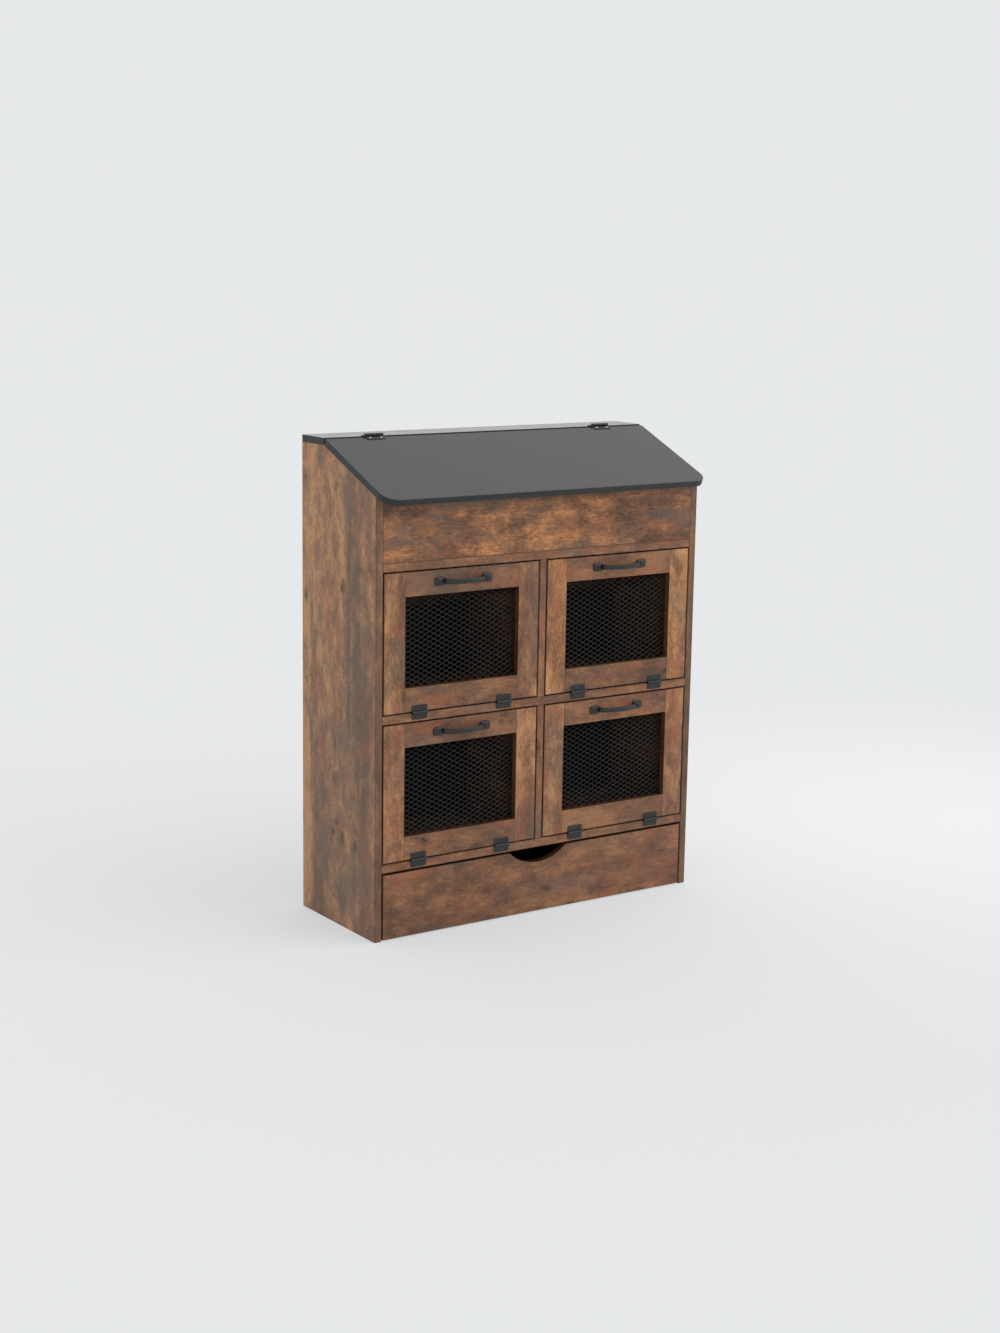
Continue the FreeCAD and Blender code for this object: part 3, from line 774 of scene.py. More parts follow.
class Forming:
    """Points and faces gathered for one piece."""

    def __init__(self) -> None:
        """Start with nothing."""
        self.points: list[Vector] = []
        self.faces: list[tuple[int, ...]] = []

    def add(self, points: Sequence[Vector], faces: Iterable[Sequence[int]]) -> None:
        """Add a form.

        Args:
            points: Its points.
            faces: Its faces, by the numbers of those points.
        """
        start = len(self.points)
        self.points += points
        self.faces += [tuple(i + start for i in face) for face in faces]

    def loft(self, rings: Sequence[Sequence[Vector]]) -> None:
        """Add a closed solid whose skin runs over rings.

        Args:
            rings: The rings, all with the same number of points.
        """
        count, last = len(rings[0]), (len(rings) - 1) * len(rings[0])
        ends = (tuple(range(count)), tuple(range(last, last + count)))
        faces = [ends[0], *ring_faces(len(rings), count), ends[1]]
        self.add([point for ring in rings for point in ring], faces)

    def finish(
        self, name: str, material: bpy.types.Material, smooth_deg: float = 35.0
    ) -> bpy.types.Object:
        """Make the piece.

        Args:
            name: Name of the piece.
            material: Its material.
            smooth_deg: Edges flatter than this are shaded smooth.

        Returns:
            The piece.
        """
        item = mesh_object(name, self.points, self.faces, material, smooth=True)
        work = bmesh.new()
        work.from_mesh(item.data)
        bmesh.ops.recalc_face_normals(work, faces=work.faces)
        work.to_mesh(item.data)
        work.free()
        item.data.set_sharp_from_angle(angle=math.radians(smooth_deg))
        return item


@dataclass(frozen=True)
class CrossHeadScrew:
    """A domed screw head with a cross recess, and its shank."""

    radius: float = 2.3 * MM
    rise: float = 1.0 * MM
    recess: float = 0.7 * MM
    slot: float = 0.55 * MM
    shank_radius: float = 1.1 * MM
    shank: float = 0.8 * MM
    sides: int = 32
    rings: int = 5
    crown_share: float = 0.6
    rim_share: float = 0.15
    recess_taper: float = 0.8

    def cross(self) -> list[Flat]:
        """Draw the cross recess, seen from above.

        Returns:
            Its outline, with three points to each arm.
        """
        arm, half = self.radius / 2, self.slot / 2
        outline: list[Flat] = []
        for turn in range(4):
            c, s = math.cos(turn * math.pi / 2), math.sin(turn * math.pi / 2)
            corners = ((arm, -half), (arm, half), (half, half))
            outline += [(x * c - y * s, x * s + y * c) for x, y in corners]
        return outline

    def circle(self, radius: float, height: float) -> list[Vector]:
        """A ring of points about the Z axis."""
        turns = [2 * math.pi * i / self.sides for i in range(self.sides)]
        return [Vector((radius * math.cos(a), radius * math.sin(a), height)) for a in turns]

    def form(self, work: Forming, spot: Matrix) -> None:
        """Add one screw.

        Args:
            work: The piece it joins.
            spot: Where it stands, with its Z axis out of the surface.
        """
        rings = [
            self.circle(self.shank_radius, -self.shank),
            self.circle(self.shank_radius, 0.0),
            self.circle(self.radius, 0.0),
        ]
        for i in range(self.rings):
            a = math.pi / 2 * i / (self.rings - 1)
            across = self.crown_share + (1 - self.crown_share) * math.cos(a)
            up = self.rim_share + (1 - self.rim_share) * math.sin(a)
            rings.append(self.circle(self.radius * across, self.rise * up))
        points = [point for ring in rings for point in ring]
        faces = [tuple(range(self.sides)), *ring_faces(len(rings), self.sides)]

        # The top is flat between the last ring and the rim of the recess, whose
        # walls taper down to its floor.
        outline = self.cross()
        size = len(outline)
        crown = list(range(len(points) - self.sides, len(points)))
        rim = list(range(len(points), len(points) + size))
        points += [Vector((x, y, self.rise)) for x, y in outline]
        taper, floor = self.recess_taper, self.rise - self.recess
        points += [Vector((x * taper, y * taper, floor)) for x, y in outline]
        numbers = crown + rim
        loops = [[points[i] for i in crown], [points[i] for i in rim]]
        faces += [tuple(numbers[i] for i in triple) for triple in tessellate_polygon(loops)]
        faces += [tuple(rim[0] + i for i in face) for face in ring_faces(2, size)]
        faces.append(tuple(i + size for i in rim))
        work.add([spot @ point for point in points], faces)


@dataclass(frozen=True)
class RolledHinge:
    """A butt hinge folded from sheet, whose knuckles are rolled about the pin.

    A leaf lies in a frame of its own: X along the pin, U along the sheet away
    from it, V towards the board that the sheet is screwed to.
    """

    width: float
    barrel: float
    reach: float
    end_knuckle: float
    screw_spread: float
    sheet: float = 1.2 * MM
    play: float = 0.3 * MM
    corner: float = 2.5 * MM
    ease: float = 0.3 * MM
    eased_reach: float = 0.97
    roll_deg: float = 285.0
    roll_steps: int = 26

    def knuckle(self, work: Forming, frame: Matrix, low: float, high: float) -> None:
        """Add one rolled knuckle.

        Args:
            work: The piece it joins.
            frame: Turns X, U and V into a point of the cabinet.
            low: Where the knuckle starts along the pin.
            high: Where it ends.
        """
        inner, start = self.barrel - self.sheet, self.barrel + 2 * self.play
        strip = [((start, self.barrel), (start, inner))]
        for i in range(self.roll_steps + 1):
            a = math.pi / 2 + math.radians(self.roll_deg) * i / self.roll_steps
            c, s = math.cos(a), math.sin(a)
            strip.append(((self.barrel * c, self.barrel * s), (inner * c, inner * s)))
        rings = [((low, *out), (low, *inside), (high, *inside), (high, *out)) for out, inside in strip]
        work.loft([[frame @ Vector(point) for point in ring] for ring in rings])

    def sheet_outline(self) -> list[Flat]:
        """Draw the flat part of a leaf, its outer corners rounded.

        Returns:
            Its outline in X and U.
        """
        half, start = self.width / 2, self.barrel + self.play
        outline: list[Flat] = [(-half, start), (half, start)]
        for quarter, side in enumerate((1, -1)):
            middle = (side * (half - self.corner), self.reach - self.corner)
            outline += corner_arc(middle, self.corner, quarter)
        return outline

    def pins(self, left: float, right: float, y: float, z: float) -> list[Vector]:
        """Middles of two pins whose hinges end at left and right."""
        inset = self.width / 2
        return [Vector((x, y, z)) for x in (left + inset, right - inset)]

    def leaves(
        self,
        screw: CrossHeadScrew,
        pins: Iterable[Vector],
        along: Vector,
        towards: Vector,
        moving: bool,
    ) -> tuple[Forming, Forming]:
        """Fold a leaf at each of some pins that lie in one line.

        Args:
            screw: The kind of screw.
            pins: Middle of each pin.
            along: The way along the sheets, away from the pins.
            towards: The way to the board.
            moving: True for leaves with the middle knuckle.

        Returns:
            The leaves and their screws.
        """
        plates, screws = Forming(), Forming()
        half, far, near = self.width / 2, self.barrel, self.barrel - self.sheet
        outline, shrink = self.sheet_outline(), 1 - self.ease / half
        eased = [(x * shrink, far + (u - far) * self.eased_reach) for x, u in outline]
        rings = ((outline, far), (outline, near + self.ease), (eased, near))
        inside, level = half - self.end_knuckle, (far + self.play + self.reach) / 2
        middle = (self.play - inside, inside - self.play)
        knuckles = [middle] if moving else [(-half, -inside), (inside, half)]
        turn = Matrix((Vector((1, 0, 0)), along, towards)).transposed().to_4x4()
        for pin in pins:
            frame = Matrix.Translation(pin) @ turn
            plates.loft([[frame @ Vector((x, u, v)) for x, u in points] for points, v in rings])
            for low, high in knuckles:
                self.knuckle(plates, frame, low, high)
            for side in (-1, 1):
                spot = frame @ Vector((side * self.screw_spread, level, near))
                screw.form(screws, facing(spot, -towards))
        return plates, screws


@dataclass(frozen=True)
class BowHandle:
    """A cast bow handle: two feet and a strap grip in a shallow bow."""

    length: float = 120.0 * MM
    foot_width: float = 22.0 * MM
    foot_height: float = 16.0 * MM
    foot_sheet: float = 2.5 * MM
    foot_corner: float = 5.0 * MM
    foot_ease: float = 0.8 * MM
    reach: float = 19.0 * MM
    bow: float = 93.0 * MM
    bend: float = 12.0 * MM
    sink: float = 0.3 * MM
    grip_height: float = 9.0 * MM
    grip_sheet: float = 4.5 * MM
    section: int = 24
    section_power: float = 0.6
    bend_steps: int = 8
    bow_steps: int = 12

    def path(self) -> list[tuple[Vector, Vector]]:
        """Middle line of the grip.

        Returns:
            Points, and the outward way across the strap at each, from foot to
            foot in X and Y, with the board at Y 0.
        """
        foot = self.length / 2 - self.foot_width + self.grip_sheet / 2
        bow_y = self.bow - self.reach
        bend_y = bow_y - math.sqrt((self.bow - self.bend) ** 2 - (foot - self.bend) ** 2)
        spread = math.atan2(foot - self.bend, bow_y - bend_y)
        half: list[tuple[Vector, Vector]] = [(Vector((foot, -self.sink, 0)), Vector((1, 0, 0)))]
        # Middle, radius, first and last angle, first step and last step of each arc.
        for middle, radius, start, end, first, last in (
            (Vector((foot - self.bend, bend_y, 0)), self.bend, math.pi / 2, spread, 0, self.bend_steps),
            (Vector((0, bow_y, 0)), self.bow, spread, 0.0, 1, self.bow_steps),
        ):
            for i in range(first, last + 1):
                a = start + (end - start) * i / last
                way = Vector((math.sin(a), -math.cos(a), 0))
                half.append((middle + way * radius, way))
        mirror = [(Vector((-p.x, p.y, 0)), Vector((-w.x, w.y, 0))) for p, w in half[:-1]]
        return mirror + half[::-1]

    def feet(self, middle: Vector, out: float) -> list[Vector]:
        """Middles of the two feet, at a distance out of the board."""
        across = (self.length - self.foot_width) / 2
        return [middle + Vector((side * across, -out, 0)) for side in (-1, 1)]

    def form(self, work: Forming, middle: Vector) -> None:
        """Add one handle.

        Args:
            work: The piece it joins.
            middle: The point of the board behind the middle of its grip.
        """
        # The strap's section is an oval with flattened sides: how far each of its
        # points lies outwards and upwards.
        section: list[Flat] = []
        for i in range(self.section):
            a = 2 * math.pi * i / self.section
            c, s = math.cos(a), math.sin(a)
            out = math.copysign(abs(c) ** self.section_power, c) * self.grip_sheet / 2
            up = math.copysign(abs(s) ** self.section_power, s) * self.grip_height / 2
            section.append((out, up))
        work.loft(
            [
                [middle + point + way * out + Vector((0, 0, up)) for out, up in section]
                for point, way in self.path()
            ]
        )
        for centre in self.feet(middle, 0.0):
            foot = []
            # The foot's outline shrinks over its rounded edge: share of the ease
            # taken off, and share of the sheet's thickness reached.
            for inset, out in ((0.0, 0.0), (0.0, 0.6), (0.3, 0.87), (1.0, 1.0)):
                ease = inset * self.foot_ease
                outline = rounded_rectangle(
                    self.foot_width - 2 * ease, self.foot_height - 2 * ease, self.foot_corner - ease
                )
                foot.append([centre + Vector((x, -out * self.foot_sheet, z)) for x, z in outline])
            work.loft(foot)

    def screw_spots(self, middle: Vector) -> list[Matrix]:
        """Where the two screws stand on the feet of a handle."""
        return [facing(spot, (0, -1, 0)) for spot in self.feet(middle, self.foot_sheet)]


# ------------------------------------------------------------------ cabinet


@dataclass
class Finishes:
    """The finishes that several sub-assemblies share."""

    fittings: bpy.types.Material
    expanded_metal: bpy.types.Material
    zinc: bpy.types.Material
    bright_screws: bpy.types.Material

    @classmethod
    def make(cls) -> "Finishes":
        """Build them all.

        Returns:
            The finishes.
        """
        return cls(
            fittings=CoatedSteel("black_lacquered_steel", "#171817", "#232422", 0.36, 0.0).build(),
            expanded_metal=CoatedSteel(
                "black_powder_coated_expanded_metal", "#080808", "#141414", 0.55, 0.0, gloss=0.35
            ).build(),
            zinc=CoatedSteel("zinc_plated_steel", "#9A9C9C", "#B4B6B6", 0.35, 1.0, 4.0).build(),
            bright_screws=CoatedSteel(
                "nickel_plated_screw_steel", "#BDBDBB", "#D2D2D0", 0.25, 1.0, 2.0
            ).build(),
        )


@dataclass
class BoardStock:
    """Cuts each board from its own length of a roll of the print.

    step is how far apart two lengths lie in the print. It is uneven, so that no
    two of them look alike.
    """

    nodes: Nodes
    count: int = 0
    step: Point = (0.37, 0.83, 0.59)
    ease: float = 0.4 * MM

    def cut(
        self,
        node: str,
        grain: Axis,
        through: Axis,
        length: int | None = None,
        **changes: object,
    ) -> None:
        """Dress one node as a board.

        Args:
            node: The node's name.
            grain: The axis of its grain.
            through: The axis of its thickness.
            length: Which length of the roll it is cut from; the next one if None.
            changes: Fields of the laminate that differ.
        """
        self.count += 1
        place = self.count if length is None else length
        x, y, z = (along * place for along in self.step)
        low, high = (tuple(corner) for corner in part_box(node))
        name = f"timber_laminate_{node}"
        laminate = TimberLaminate(name, grain, through, (x, y, z), low, high, **changes)
        dress(self.nodes[node], laminate.build())
        ease_edges(self.nodes[node], self.ease)


@dataclass
class Carcass:
    """Sides, shelves, dividers, front panel and back of the cabinet."""

    nodes: Nodes
    stock: BoardStock

    def build(self) -> None:
        """Dress the fixed boards."""
        # The side panels take a paler tone, which is partly painted light on the sides.
        for node, length in (("left_side", 371), ("right_side", 208)):
            self.stock.cut(
                node,
                Axis.Z,
                Axis.X,
                length,
                tone=PrintTone.PALE,
                edge_share=0.4,
                edge_band="#4A3022",
                band_mm=75.0,
                band_share=0.08,
                band_weight=0.4,
                grey_amount=0.7,
            )
        for node, length in (("lower_divider", 152), ("upper_divider", 318)):
            self.stock.cut(node, Axis.Z, Axis.X, length, tone=PrintTone.WARM)
        for node, length in (("lower_shelf", 214), ("middle_shelf", 18), ("upper_shelf", 456)):
            self.stock.cut(node, Axis.X, Axis.Z, length, tone=PrintTone.WARM)
        self.stock.cut("upper_front_panel", Axis.X, Axis.Y, 432, tone=PrintTone.LIVELY)
        dress(self.nodes["back_panel"], Hardboard("brown_hardboard").build())


@dataclass
class Worktop:
    """The sloped lid, the fixed strip behind it and the hinges between them."""

    nodes: Nodes
    finishes: Finishes
    slope_deg: float = 22.46
    ease: float = 0.5 * MM
    hinge: RolledHinge = RolledHinge(
        width=38.0 * MM,
        barrel=2.6 * MM,
        reach=14.0 * MM,
        end_knuckle=11.0 * MM,
        screw_spread=11.5 * MM,
    )
    screw: CrossHeadScrew = CrossHeadScrew()

    def build(self) -> None:
        """Dress the lid and the strip and add their hinges."""
        slope = math.radians(self.slope_deg)
        faces = {"lid": (0.0, -math.sin(slope), math.cos(slope)), "top_strip": (0.0, 0.0, 1.0)}
        for node, face in faces.items():
            dress(self.nodes[node], WorktopLaminate(f"charcoal_laminate_{node}", face).build())
            ease_edges(self.nodes[node], self.ease)
        low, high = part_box("lid_hinge_pins")
        pins = self.hinge.pins(low.x, high.x, (low.y + high.y) / 2, (low.z + high.z) / 2)
        down_lid = -Vector((0, math.cos(slope), math.sin(slope)))
        for node, body, along, towards, moving in (
            ("strip_hinge_leaves", "cabinet", Vector((0, 1, 0)), Vector((0, 0, -1)), False),
            ("lid_hinge_leaves", "lid", down_lid, -Vector(faces["lid"]), True),
        ):
            plates, screws = self.hinge.leaves(self.screw, pins, along, towards, moving)
            plate = plates.finish(f"{node}_rolled", self.finishes.fittings)
            fit(plate, body, "black_steel", node)
            heads = screws.finish(f"{node}_screws", self.finishes.bright_screws)
            fit(heads, body, "zinc_steel")
        dress(self.nodes["lid_hinge_pins"], self.finishes.zinc)


@dataclass(frozen=True)
class ExpandedMetal:
    """A sheet of expanded metal: slit, then drawn out into staggered diamonds.

    Drawing leans each strand out of the sheet's plane, so its face catches the
    light from above. Where strands meet, a short bond is left.
    """

    pitch_wide: float = 17.6 * MM
    pitch_high: float = 9.2 * MM
    strand: float = 1.15 * MM
    strand_inset: float = 0.96 * MM
    sheet: float = 0.8 * MM
    lean: float = 0.6 * MM
    bond_long: float = 2.6 * MM
    bond_flat: float = 1.2 * MM
    bond_high: float = 0.85 * MM
    bond_sheet: float = 0.88 * MM

    def add_strand(self, work: Forming, start: Vector, end: Vector) -> None:
        """Add one leaning strand between two bonds.

        Args:
            work: The sheet.
            start: Its first end, in the sheet's plane.
            end: Its other end.
        """
        along = (end - start).normalized()
        across = Vector((-along.z, 0, along.x)) * (self.strand / 2)
        if across.z < 0:
            across = -across
        leaning = across + Vector((0, self.lean / 2, 0))
        thick = Vector((0, self.sheet / 2, 0))
        inset = along * self.strand_inset
        corners = ((1, 1), (1, -1), (-1, -1), (-1, 1))
        work.loft(
            [
                [point + leaning * edge + thick * face for edge, face in corners]
                for point in (start + inset, end - inset)
            ]
        )

    def add_bond(self, work: Forming, middle: Vector) -> None:
        """Add the bond where four strands meet.

        Args:
            work: The sheet.
            middle: The bond's middle.
        """
        upper = [
            (self.bond_long, 0.0),
            (self.bond_flat, self.bond_high),
            (-self.bond_flat, self.bond_high),
        ]
        outline = upper + [(-x, -z) for x, z in upper]
        half = self.bond_sheet / 2
        work.loft([[middle + Vector((x, y, z)) for x, z in outline] for y in (-half, half)])

    def build(
        self, name: str, low: Vector, high: Vector, material: bpy.types.Material
    ) -> bpy.types.Object:
        """Build the sheet in the room of a flat box.

        Args:
            name: Name of the piece.
            low: The box's lowest corner.
            high: Its highest corner.
            material: What it is made of.

        Returns:
            The piece.
        """
        middle = (low + high) / 2
        step_x, step_z = self.pitch_wide / 2, self.pitch_high / 2
        columns = int(((high.x - low.x) / 2 - self.bond_long) / step_x)
        rows = int(((high.z - low.z) / 2 - self.bond_high) / step_z)
        work = Forming()
        for column in range(-columns, columns + 1):
            for row in range(-rows, rows + 1):
                corner = Vector((column * step_x, 0, row * step_z)) + middle
                bonded = (column + row) % 2 == 0
                if bonded:
                    self.add_bond(work, corner)
                if column == columns or row == rows:
                    continue
                rise, fall = (0.0, step_z) if bonded else (step_z, 0.0)
                start = corner + Vector((0, 0, rise))
                self.add_strand(work, start, corner + Vector((step_x, 0, fall)))
        return work.finish(name, material)


@dataclass(frozen=True)
class WireStaple:
    """A wire staple that holds the expanded metal to the back of the door."""

    crown: float = 9.0 * MM
    wire: float = 1.1 * MM
    stand: float = 0.7 * MM
    leg: float = 0.9 * MM
    shoulder: float = 0.93

    def form(self, work: Forming, middle: Vector, along: Vector) -> None:
        """Add one staple.

        Args:
            work: The piece it joins.
            middle: The point of the door's back under its crown.
            along: The way its crown lies.
        """
        side = along.cross(Vector((0, 1, 0)))
        half, radius = self.crown / 2, self.wire / 2
        line = [(-half, -self.leg), (-half, self.stand / 2), (-half * self.shoulder, self.stand)]
        line += [(-x, y) for x, y in reversed(line)]
        octagon = ((1, 0), (0.7, 0.7), (0, 1), (-0.7, 0.7), (-1, 0), (-0.7, -0.7), (0, -1), (0.7, -0.7))
        rings = []
        for i, (x, y) in enumerate(line):
            before, after = line[max(i - 1, 0)], line[min(i + 1, len(line) - 1)]
            way = Vector((after[0] - before[0], after[1] - before[1])).normalized()
            point = middle + along * x + Vector((0, y, 0))
            out = Vector((0, way.x, 0)) - along * way.y
            rings.append([point + (side * a + out * b) * radius for a, b in octagon])
        work.loft(rings)


@dataclass
class TiltingBin:
    """One bin: door frame, window, walls, handle and hinge leaves."""

    level: Level
    side: Side
    stile_length: int
    rail_length: int
    stock: BoardStock
    finishes: Finishes
    bow_handle: BowHandle = BowHandle()
    handle_screw: CrossHeadScrew = CrossHeadScrew(
        radius=4.6 * MM,
        rise=1.8 * MM,
        recess=1.1 * MM,
        slot=0.9 * MM,
        shank_radius=2.0 * MM,
        shank=11.0 * MM,
    )
    staples_wide: int = 5
    staples_high: int = 3
    staple_inset: float = 4.6 * MM

    @property
    def body(self) -> str:
        """Name of the body that carries the bin."""
        return f"{self.level.value}_{self.side.value}_bin"

    def node(self, part: str) -> str:
        """Full node name of one of the bin's parts."""
        return f"{self.body}_{part}"

    def build(self) -> None:
        """Dress the bin's boards and add its window and fittings."""
        bright = self.level is Level.UPPER and self.side is Side.RIGHT
        tone = PrintTone.HONEY if bright else PrintTone.WARM
        edges = {"edge_share": 0.8, "edge_band": "#452817"}
        # The walls and floor inside take a darker tone with darker patches: painted shade inside the bin.
        inner = {"tone": PrintTone.INNER, "warm": "#6E4630", "grey": "#4A3B30", "gloss": 0.3}
        # The back takes a near-black tone, with near-black knots and rings: painted shade at the back of
        # the bin.
        dark = {"tone": PrintTone.DEEP, "warm": "#1F150F", "grey": "#15120F", "gloss": 0.15}
        dark |= {"knot": "#0B0807", "ring": "#19110C"}
        for part, grain, through, length, changes in (
            ("stiles", Axis.Z, Axis.Y, self.stile_length, {"tone": tone, **edges}),
            ("rails", Axis.X, Axis.Y, self.rail_length, edges),
            ("walls", Axis.Y, Axis.X, None, inner),
            ("floor", Axis.X, Axis.Z, None, inner),
            ("back", Axis.X, Axis.Y, None, dark),
        ):
            self.stock.cut(self.node(part), grain, through, length, **changes)
        self.window()
        self.handle()
        self.hinges()

    def window(self) -> None:
        """Hang the expanded metal behind the door frame and staple it there."""
        low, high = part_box(self.node("mesh"))
        metal = self.finishes.expanded_metal
        sheet = ExpandedMetal().build(f"{self.body}_expanded_metal", low, high, metal)
        fit(sheet, self.body, "expanded_metal", self.node("mesh"))
        work, staple, inset = Forming(), WireStaple(), self.staple_inset
        for i in range(self.staples_wide):
            x = low.x + (high.x - low.x) * (i + 0.5) / self.staples_wide
            for z in (low.z + inset, high.z - inset):
                staple.form(work, Vector((x, high.y, z)), Vector((1, 0, 0)))
        for i in range(self.staples_high):
            z = low.z + (high.z - low.z) * (i + 0.5) / self.staples_high
            for x in (low.x + inset, high.x - inset):
                staple.form(work, Vector((x, high.y, z)), Vector((0, 0, 1)))
        fit(work.finish(f"{self.body}_staples", self.finishes.zinc), self.body, "zinc_steel")

    def handle(self) -> None:
        """Screw on the bow handle."""
        low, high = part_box(self.node("handle"))
        middle = Vector(((low.x + high.x) / 2, high.y, (low.z + high.z) / 2))
        work, heads = Forming(), Forming()
        self.bow_handle.form(work, middle)
        bow = work.finish(f"{self.body}_bow_handle", self.finishes.fittings)
        fit(bow, self.body, "black_steel", self.node("handle"))
        for spot in self.bow_handle.screw_spots(middle):
            self.handle_screw.form(heads, spot)
        screws = heads.finish(f"{self.body}_bow_handle_screws", self.finishes.fittings)
        fit(screws, self.body, "black_steel", self.node("handle_screws"))

    def hinges(self) -> None:
        """Fold the two moving hinge leaves and screw them to the door."""
        hinge = ShelfHinges.hinge
        low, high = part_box(self.node("hinge_leaves"))
        pins = hinge.pins(low.x, high.x, high.y - hinge.barrel, low.z + hinge.barrel)
        up, back = Vector((0, 0, 1)), Vector((0, 1, 0))
        plates, screws = hinge.leaves(ShelfHinges.screw, pins, up, back, True)
        plate = plates.finish(f"{self.body}_rolled_hinge_leaves", self.finishes.fittings)
        fit(plate, self.body, "black_steel", self.node("hinge_leaves"))
        heads = screws.finish(f"{self.body}_hinge_screws", self.finishes.fittings)
        fit(heads, self.body, "black_steel")


@dataclass
class ShelfHinges:
    """The fixed leaves and pins along two shelves."""

    nodes: Nodes
    finishes: Finishes
    hinge: RolledHinge = RolledHinge(
        width=32.0 * MM,
        barrel=2.5 * MM,
        reach=13.0 * MM,
        end_knuckle=9.5 * MM,
        screw_spread=9.0 * MM,
    )
    screw: CrossHeadScrew = CrossHeadScrew(radius=2.1 * MM, rise=0.7 * MM, recess=0.5 * MM)

    def build(self) -> None:
        """Fold the fixed leaves, screw them to the shelves and dress the pins."""
        down, back = Vector((0, 0, -1)), Vector((0, 1, 0))
        for shelf, level in (("lower", Level.LOWER), ("middle", Level.UPPER)):
            node = f"{shelf}_shelf_hinge_leaves"
            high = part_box(node)[1]
            y, z = high.y - self.hinge.barrel, high.z - self.hinge.barrel
            pins: list[Vector] = []
            for side in Side:
                left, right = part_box(f"{level.value}_{side.value}_bin_hinge_leaves")
                pins += self.hinge.pins(left.x, right.x, y, z)
            plates, screws = self.hinge.leaves(self.screw, pins, down, back, False)
            plate = plates.finish(f"{shelf}_shelf_rolled_hinge_leaves", self.finishes.fittings)
            fit(plate, "cabinet", "black_steel", node)
            heads = screws.finish(f"{shelf}_shelf_hinge_screws", self.finishes.fittings)
            fit(heads, "cabinet", "black_steel")
            dress(self.nodes[f"{shelf}_shelf_hinge_pins"], self.finishes.zinc)


@dataclass
class Drawer:
    """The bottom drawer and its slides."""

    nodes: Nodes
    stock: BoardStock
    finishes: Finishes

    def build(self) -> None:
        """Dress the drawer's boards and slides."""
        # The narrow faces take a dark band, which in the finger cut-out is painted shade.
        edges = {"edge_share": 0.85, "edge_band": "#33200F"}
        self.stock.cut("drawer_front", Axis.X, Axis.Y, 71, **edges)
        self.stock.cut("drawer_sides", Axis.Y, Axis.X)
        self.stock.cut("drawer_back", Axis.X, Axis.Y)
        self.stock.cut("drawer_bottom", Axis.X, Axis.Z)
        for node in ("drawer_slide_channels", "drawer_slide_bars"):
            dress(self.nodes[node], self.finishes.zinc)


# ------------------------------------------------------------------ studio


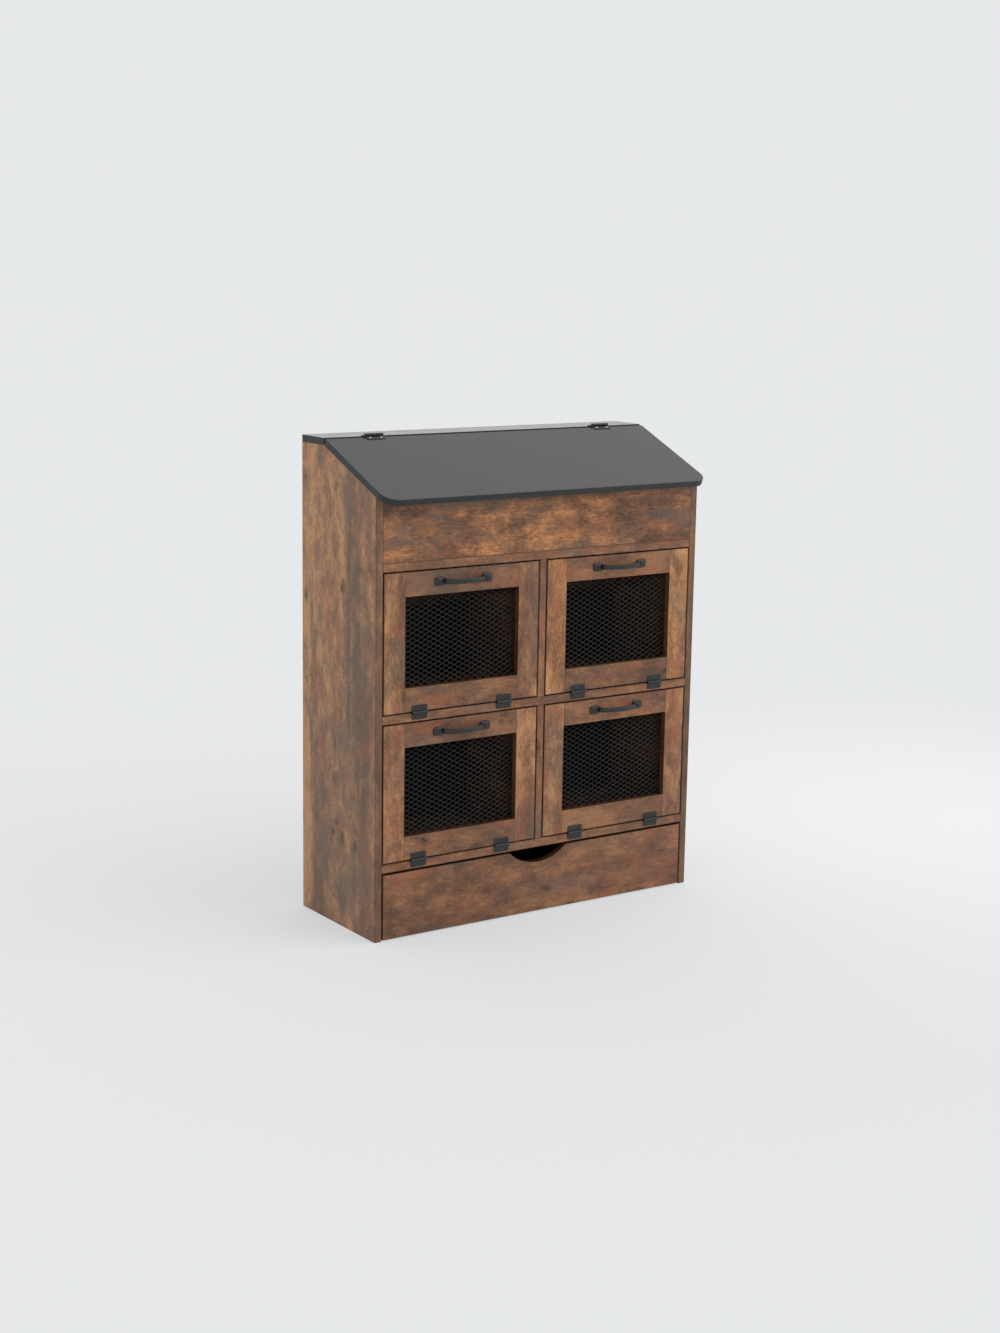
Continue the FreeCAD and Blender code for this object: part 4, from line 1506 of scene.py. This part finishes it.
@dataclass
class Studio:
    """Pale paper floor, one soft lamp, a pale room and the camera."""

    paper_half: float = 60.0
    camera_place: Point = (-2.21153, -3.20226, 1.22004)
    heading_deg: float = 34.448
    tilt_deg: float = 11.292
    roll_deg: float = 0.906
    lens_mm: float = 57.82
    sensor_mm: float = 36.0
    lamp_strength: float = 0.75
    lamp_spread_deg: float = 60.0
    lamp_from: Point = (0.75, -0.65, 0.75)
    room_light: str = "#FFFFFF"
    room_strength: float = 0.8
    backdrop: str = "#E7E9EA"

    def paper(self) -> None:
        """Lay the paper under everything."""
        half = self.paper_half
        points = [(-half, -half, 0), (half, -half, 0), (half, half, 0), (-half, half, 0)]
        sheet = mesh_object("studio_paper", points, [(0, 1, 2, 3)], StudioPaper().build())

    def lamp(self) -> None:
        """Set up the wide soft lamp, so far away that it lights the floor evenly."""
        light = bpy.data.lights.new("soft_lamp", "SUN")
        light.energy, light.angle = self.lamp_strength, math.radians(self.lamp_spread_deg)
        item = bpy.data.objects.new("soft_lamp", light)
        item.rotation_mode = "QUATERNION"
        item.rotation_quaternion = (-Vector(self.lamp_from)).to_track_quat("-Z", "Y")
        bpy.context.scene.collection.objects.link(item)

    def room(self) -> None:
        """Surround everything with an even pale light.

        What the camera and the glossy faces see of the room is its backdrop; the
        rest of the light comes at a plain level.
        """
        world = bpy.data.worlds.new("pale_room")
        world.use_nodes = True
        tree = world.node_tree
        tree.nodes.clear()
        glow, backdrop = (
            add_node(tree, "Background", {"Color": colour(shade), "Strength": strength})["Background"]
            for shade, strength in ((self.room_light, self.room_strength), (self.backdrop, 1.0))
        )
        links = {0: seen_directly(tree), 1: glow, 2: backdrop}
        both = add_node(tree, "MixShader", {}, links)["Shader"]
        add_node(tree, "OutputWorld", {}, {"Surface": both})
        bpy.context.scene.world = world

    def camera(self) -> None:
        """Stand the camera where the photograph was taken from."""
        yaw, pitch, roll = (math.radians(a) for a in (self.heading_deg, self.tilt_deg, self.roll_deg))
        turn = (
            Matrix.Rotation(-yaw, 4, "Z")
            @ Matrix.Rotation(math.pi / 2 - pitch, 4, "X")
            @ Matrix.Rotation(roll, 4, "Z")
        )
        lens = bpy.data.cameras.new("camera")
        lens.sensor_width, lens.lens = self.sensor_mm, self.lens_mm
        item = bpy.data.objects.new("camera", lens)
        item.matrix_world = Matrix.Translation(self.camera_place) @ turn
        bpy.context.scene.collection.objects.link(item)
        bpy.context.scene.camera = item

    def build(self) -> None:
        """Set up the whole studio."""
        self.paper()
        self.room()
        self.lamp()
        self.camera()
        bpy.context.scene.view_settings.view_transform = "Standard"


# ------------------------------------------------------------------ whole cabinet


def main() -> None:
    """Dress the whole cabinet and set up the studio."""
    logging.basicConfig(level=logging.INFO)
    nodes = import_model()["nodes"]
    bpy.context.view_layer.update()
    finishes = Finishes.make()
    stock = BoardStock(nodes)
    steps: list[tuple[str, Callable[[], None]]] = [
        ("carcass", Carcass(nodes, stock).build),
        ("worktop", Worktop(nodes, finishes).build),
        ("shelf hinges", ShelfHinges(nodes, finishes).build),
        ("drawer", Drawer(nodes, stock, finishes).build),
    ]
    for level, side, stile_length, rail_length in (
        (Level.LOWER, Side.LEFT, 386, 151),
        (Level.LOWER, Side.RIGHT, 1, 389),
        (Level.UPPER, Side.LEFT, 72, 105),
        (Level.UPPER, Side.RIGHT, 146, 208),
    ):
        tilting_bin = TiltingBin(level, side, stile_length, rail_length, stock, finishes)
        steps.append((f"{level.value} {side.value} bin", tilting_bin.build))
    steps.append(("studio", Studio().build))
    for name, step in steps:
        step()
        LOG.info("built %s", name)


if __name__ == "__main__":
    main()
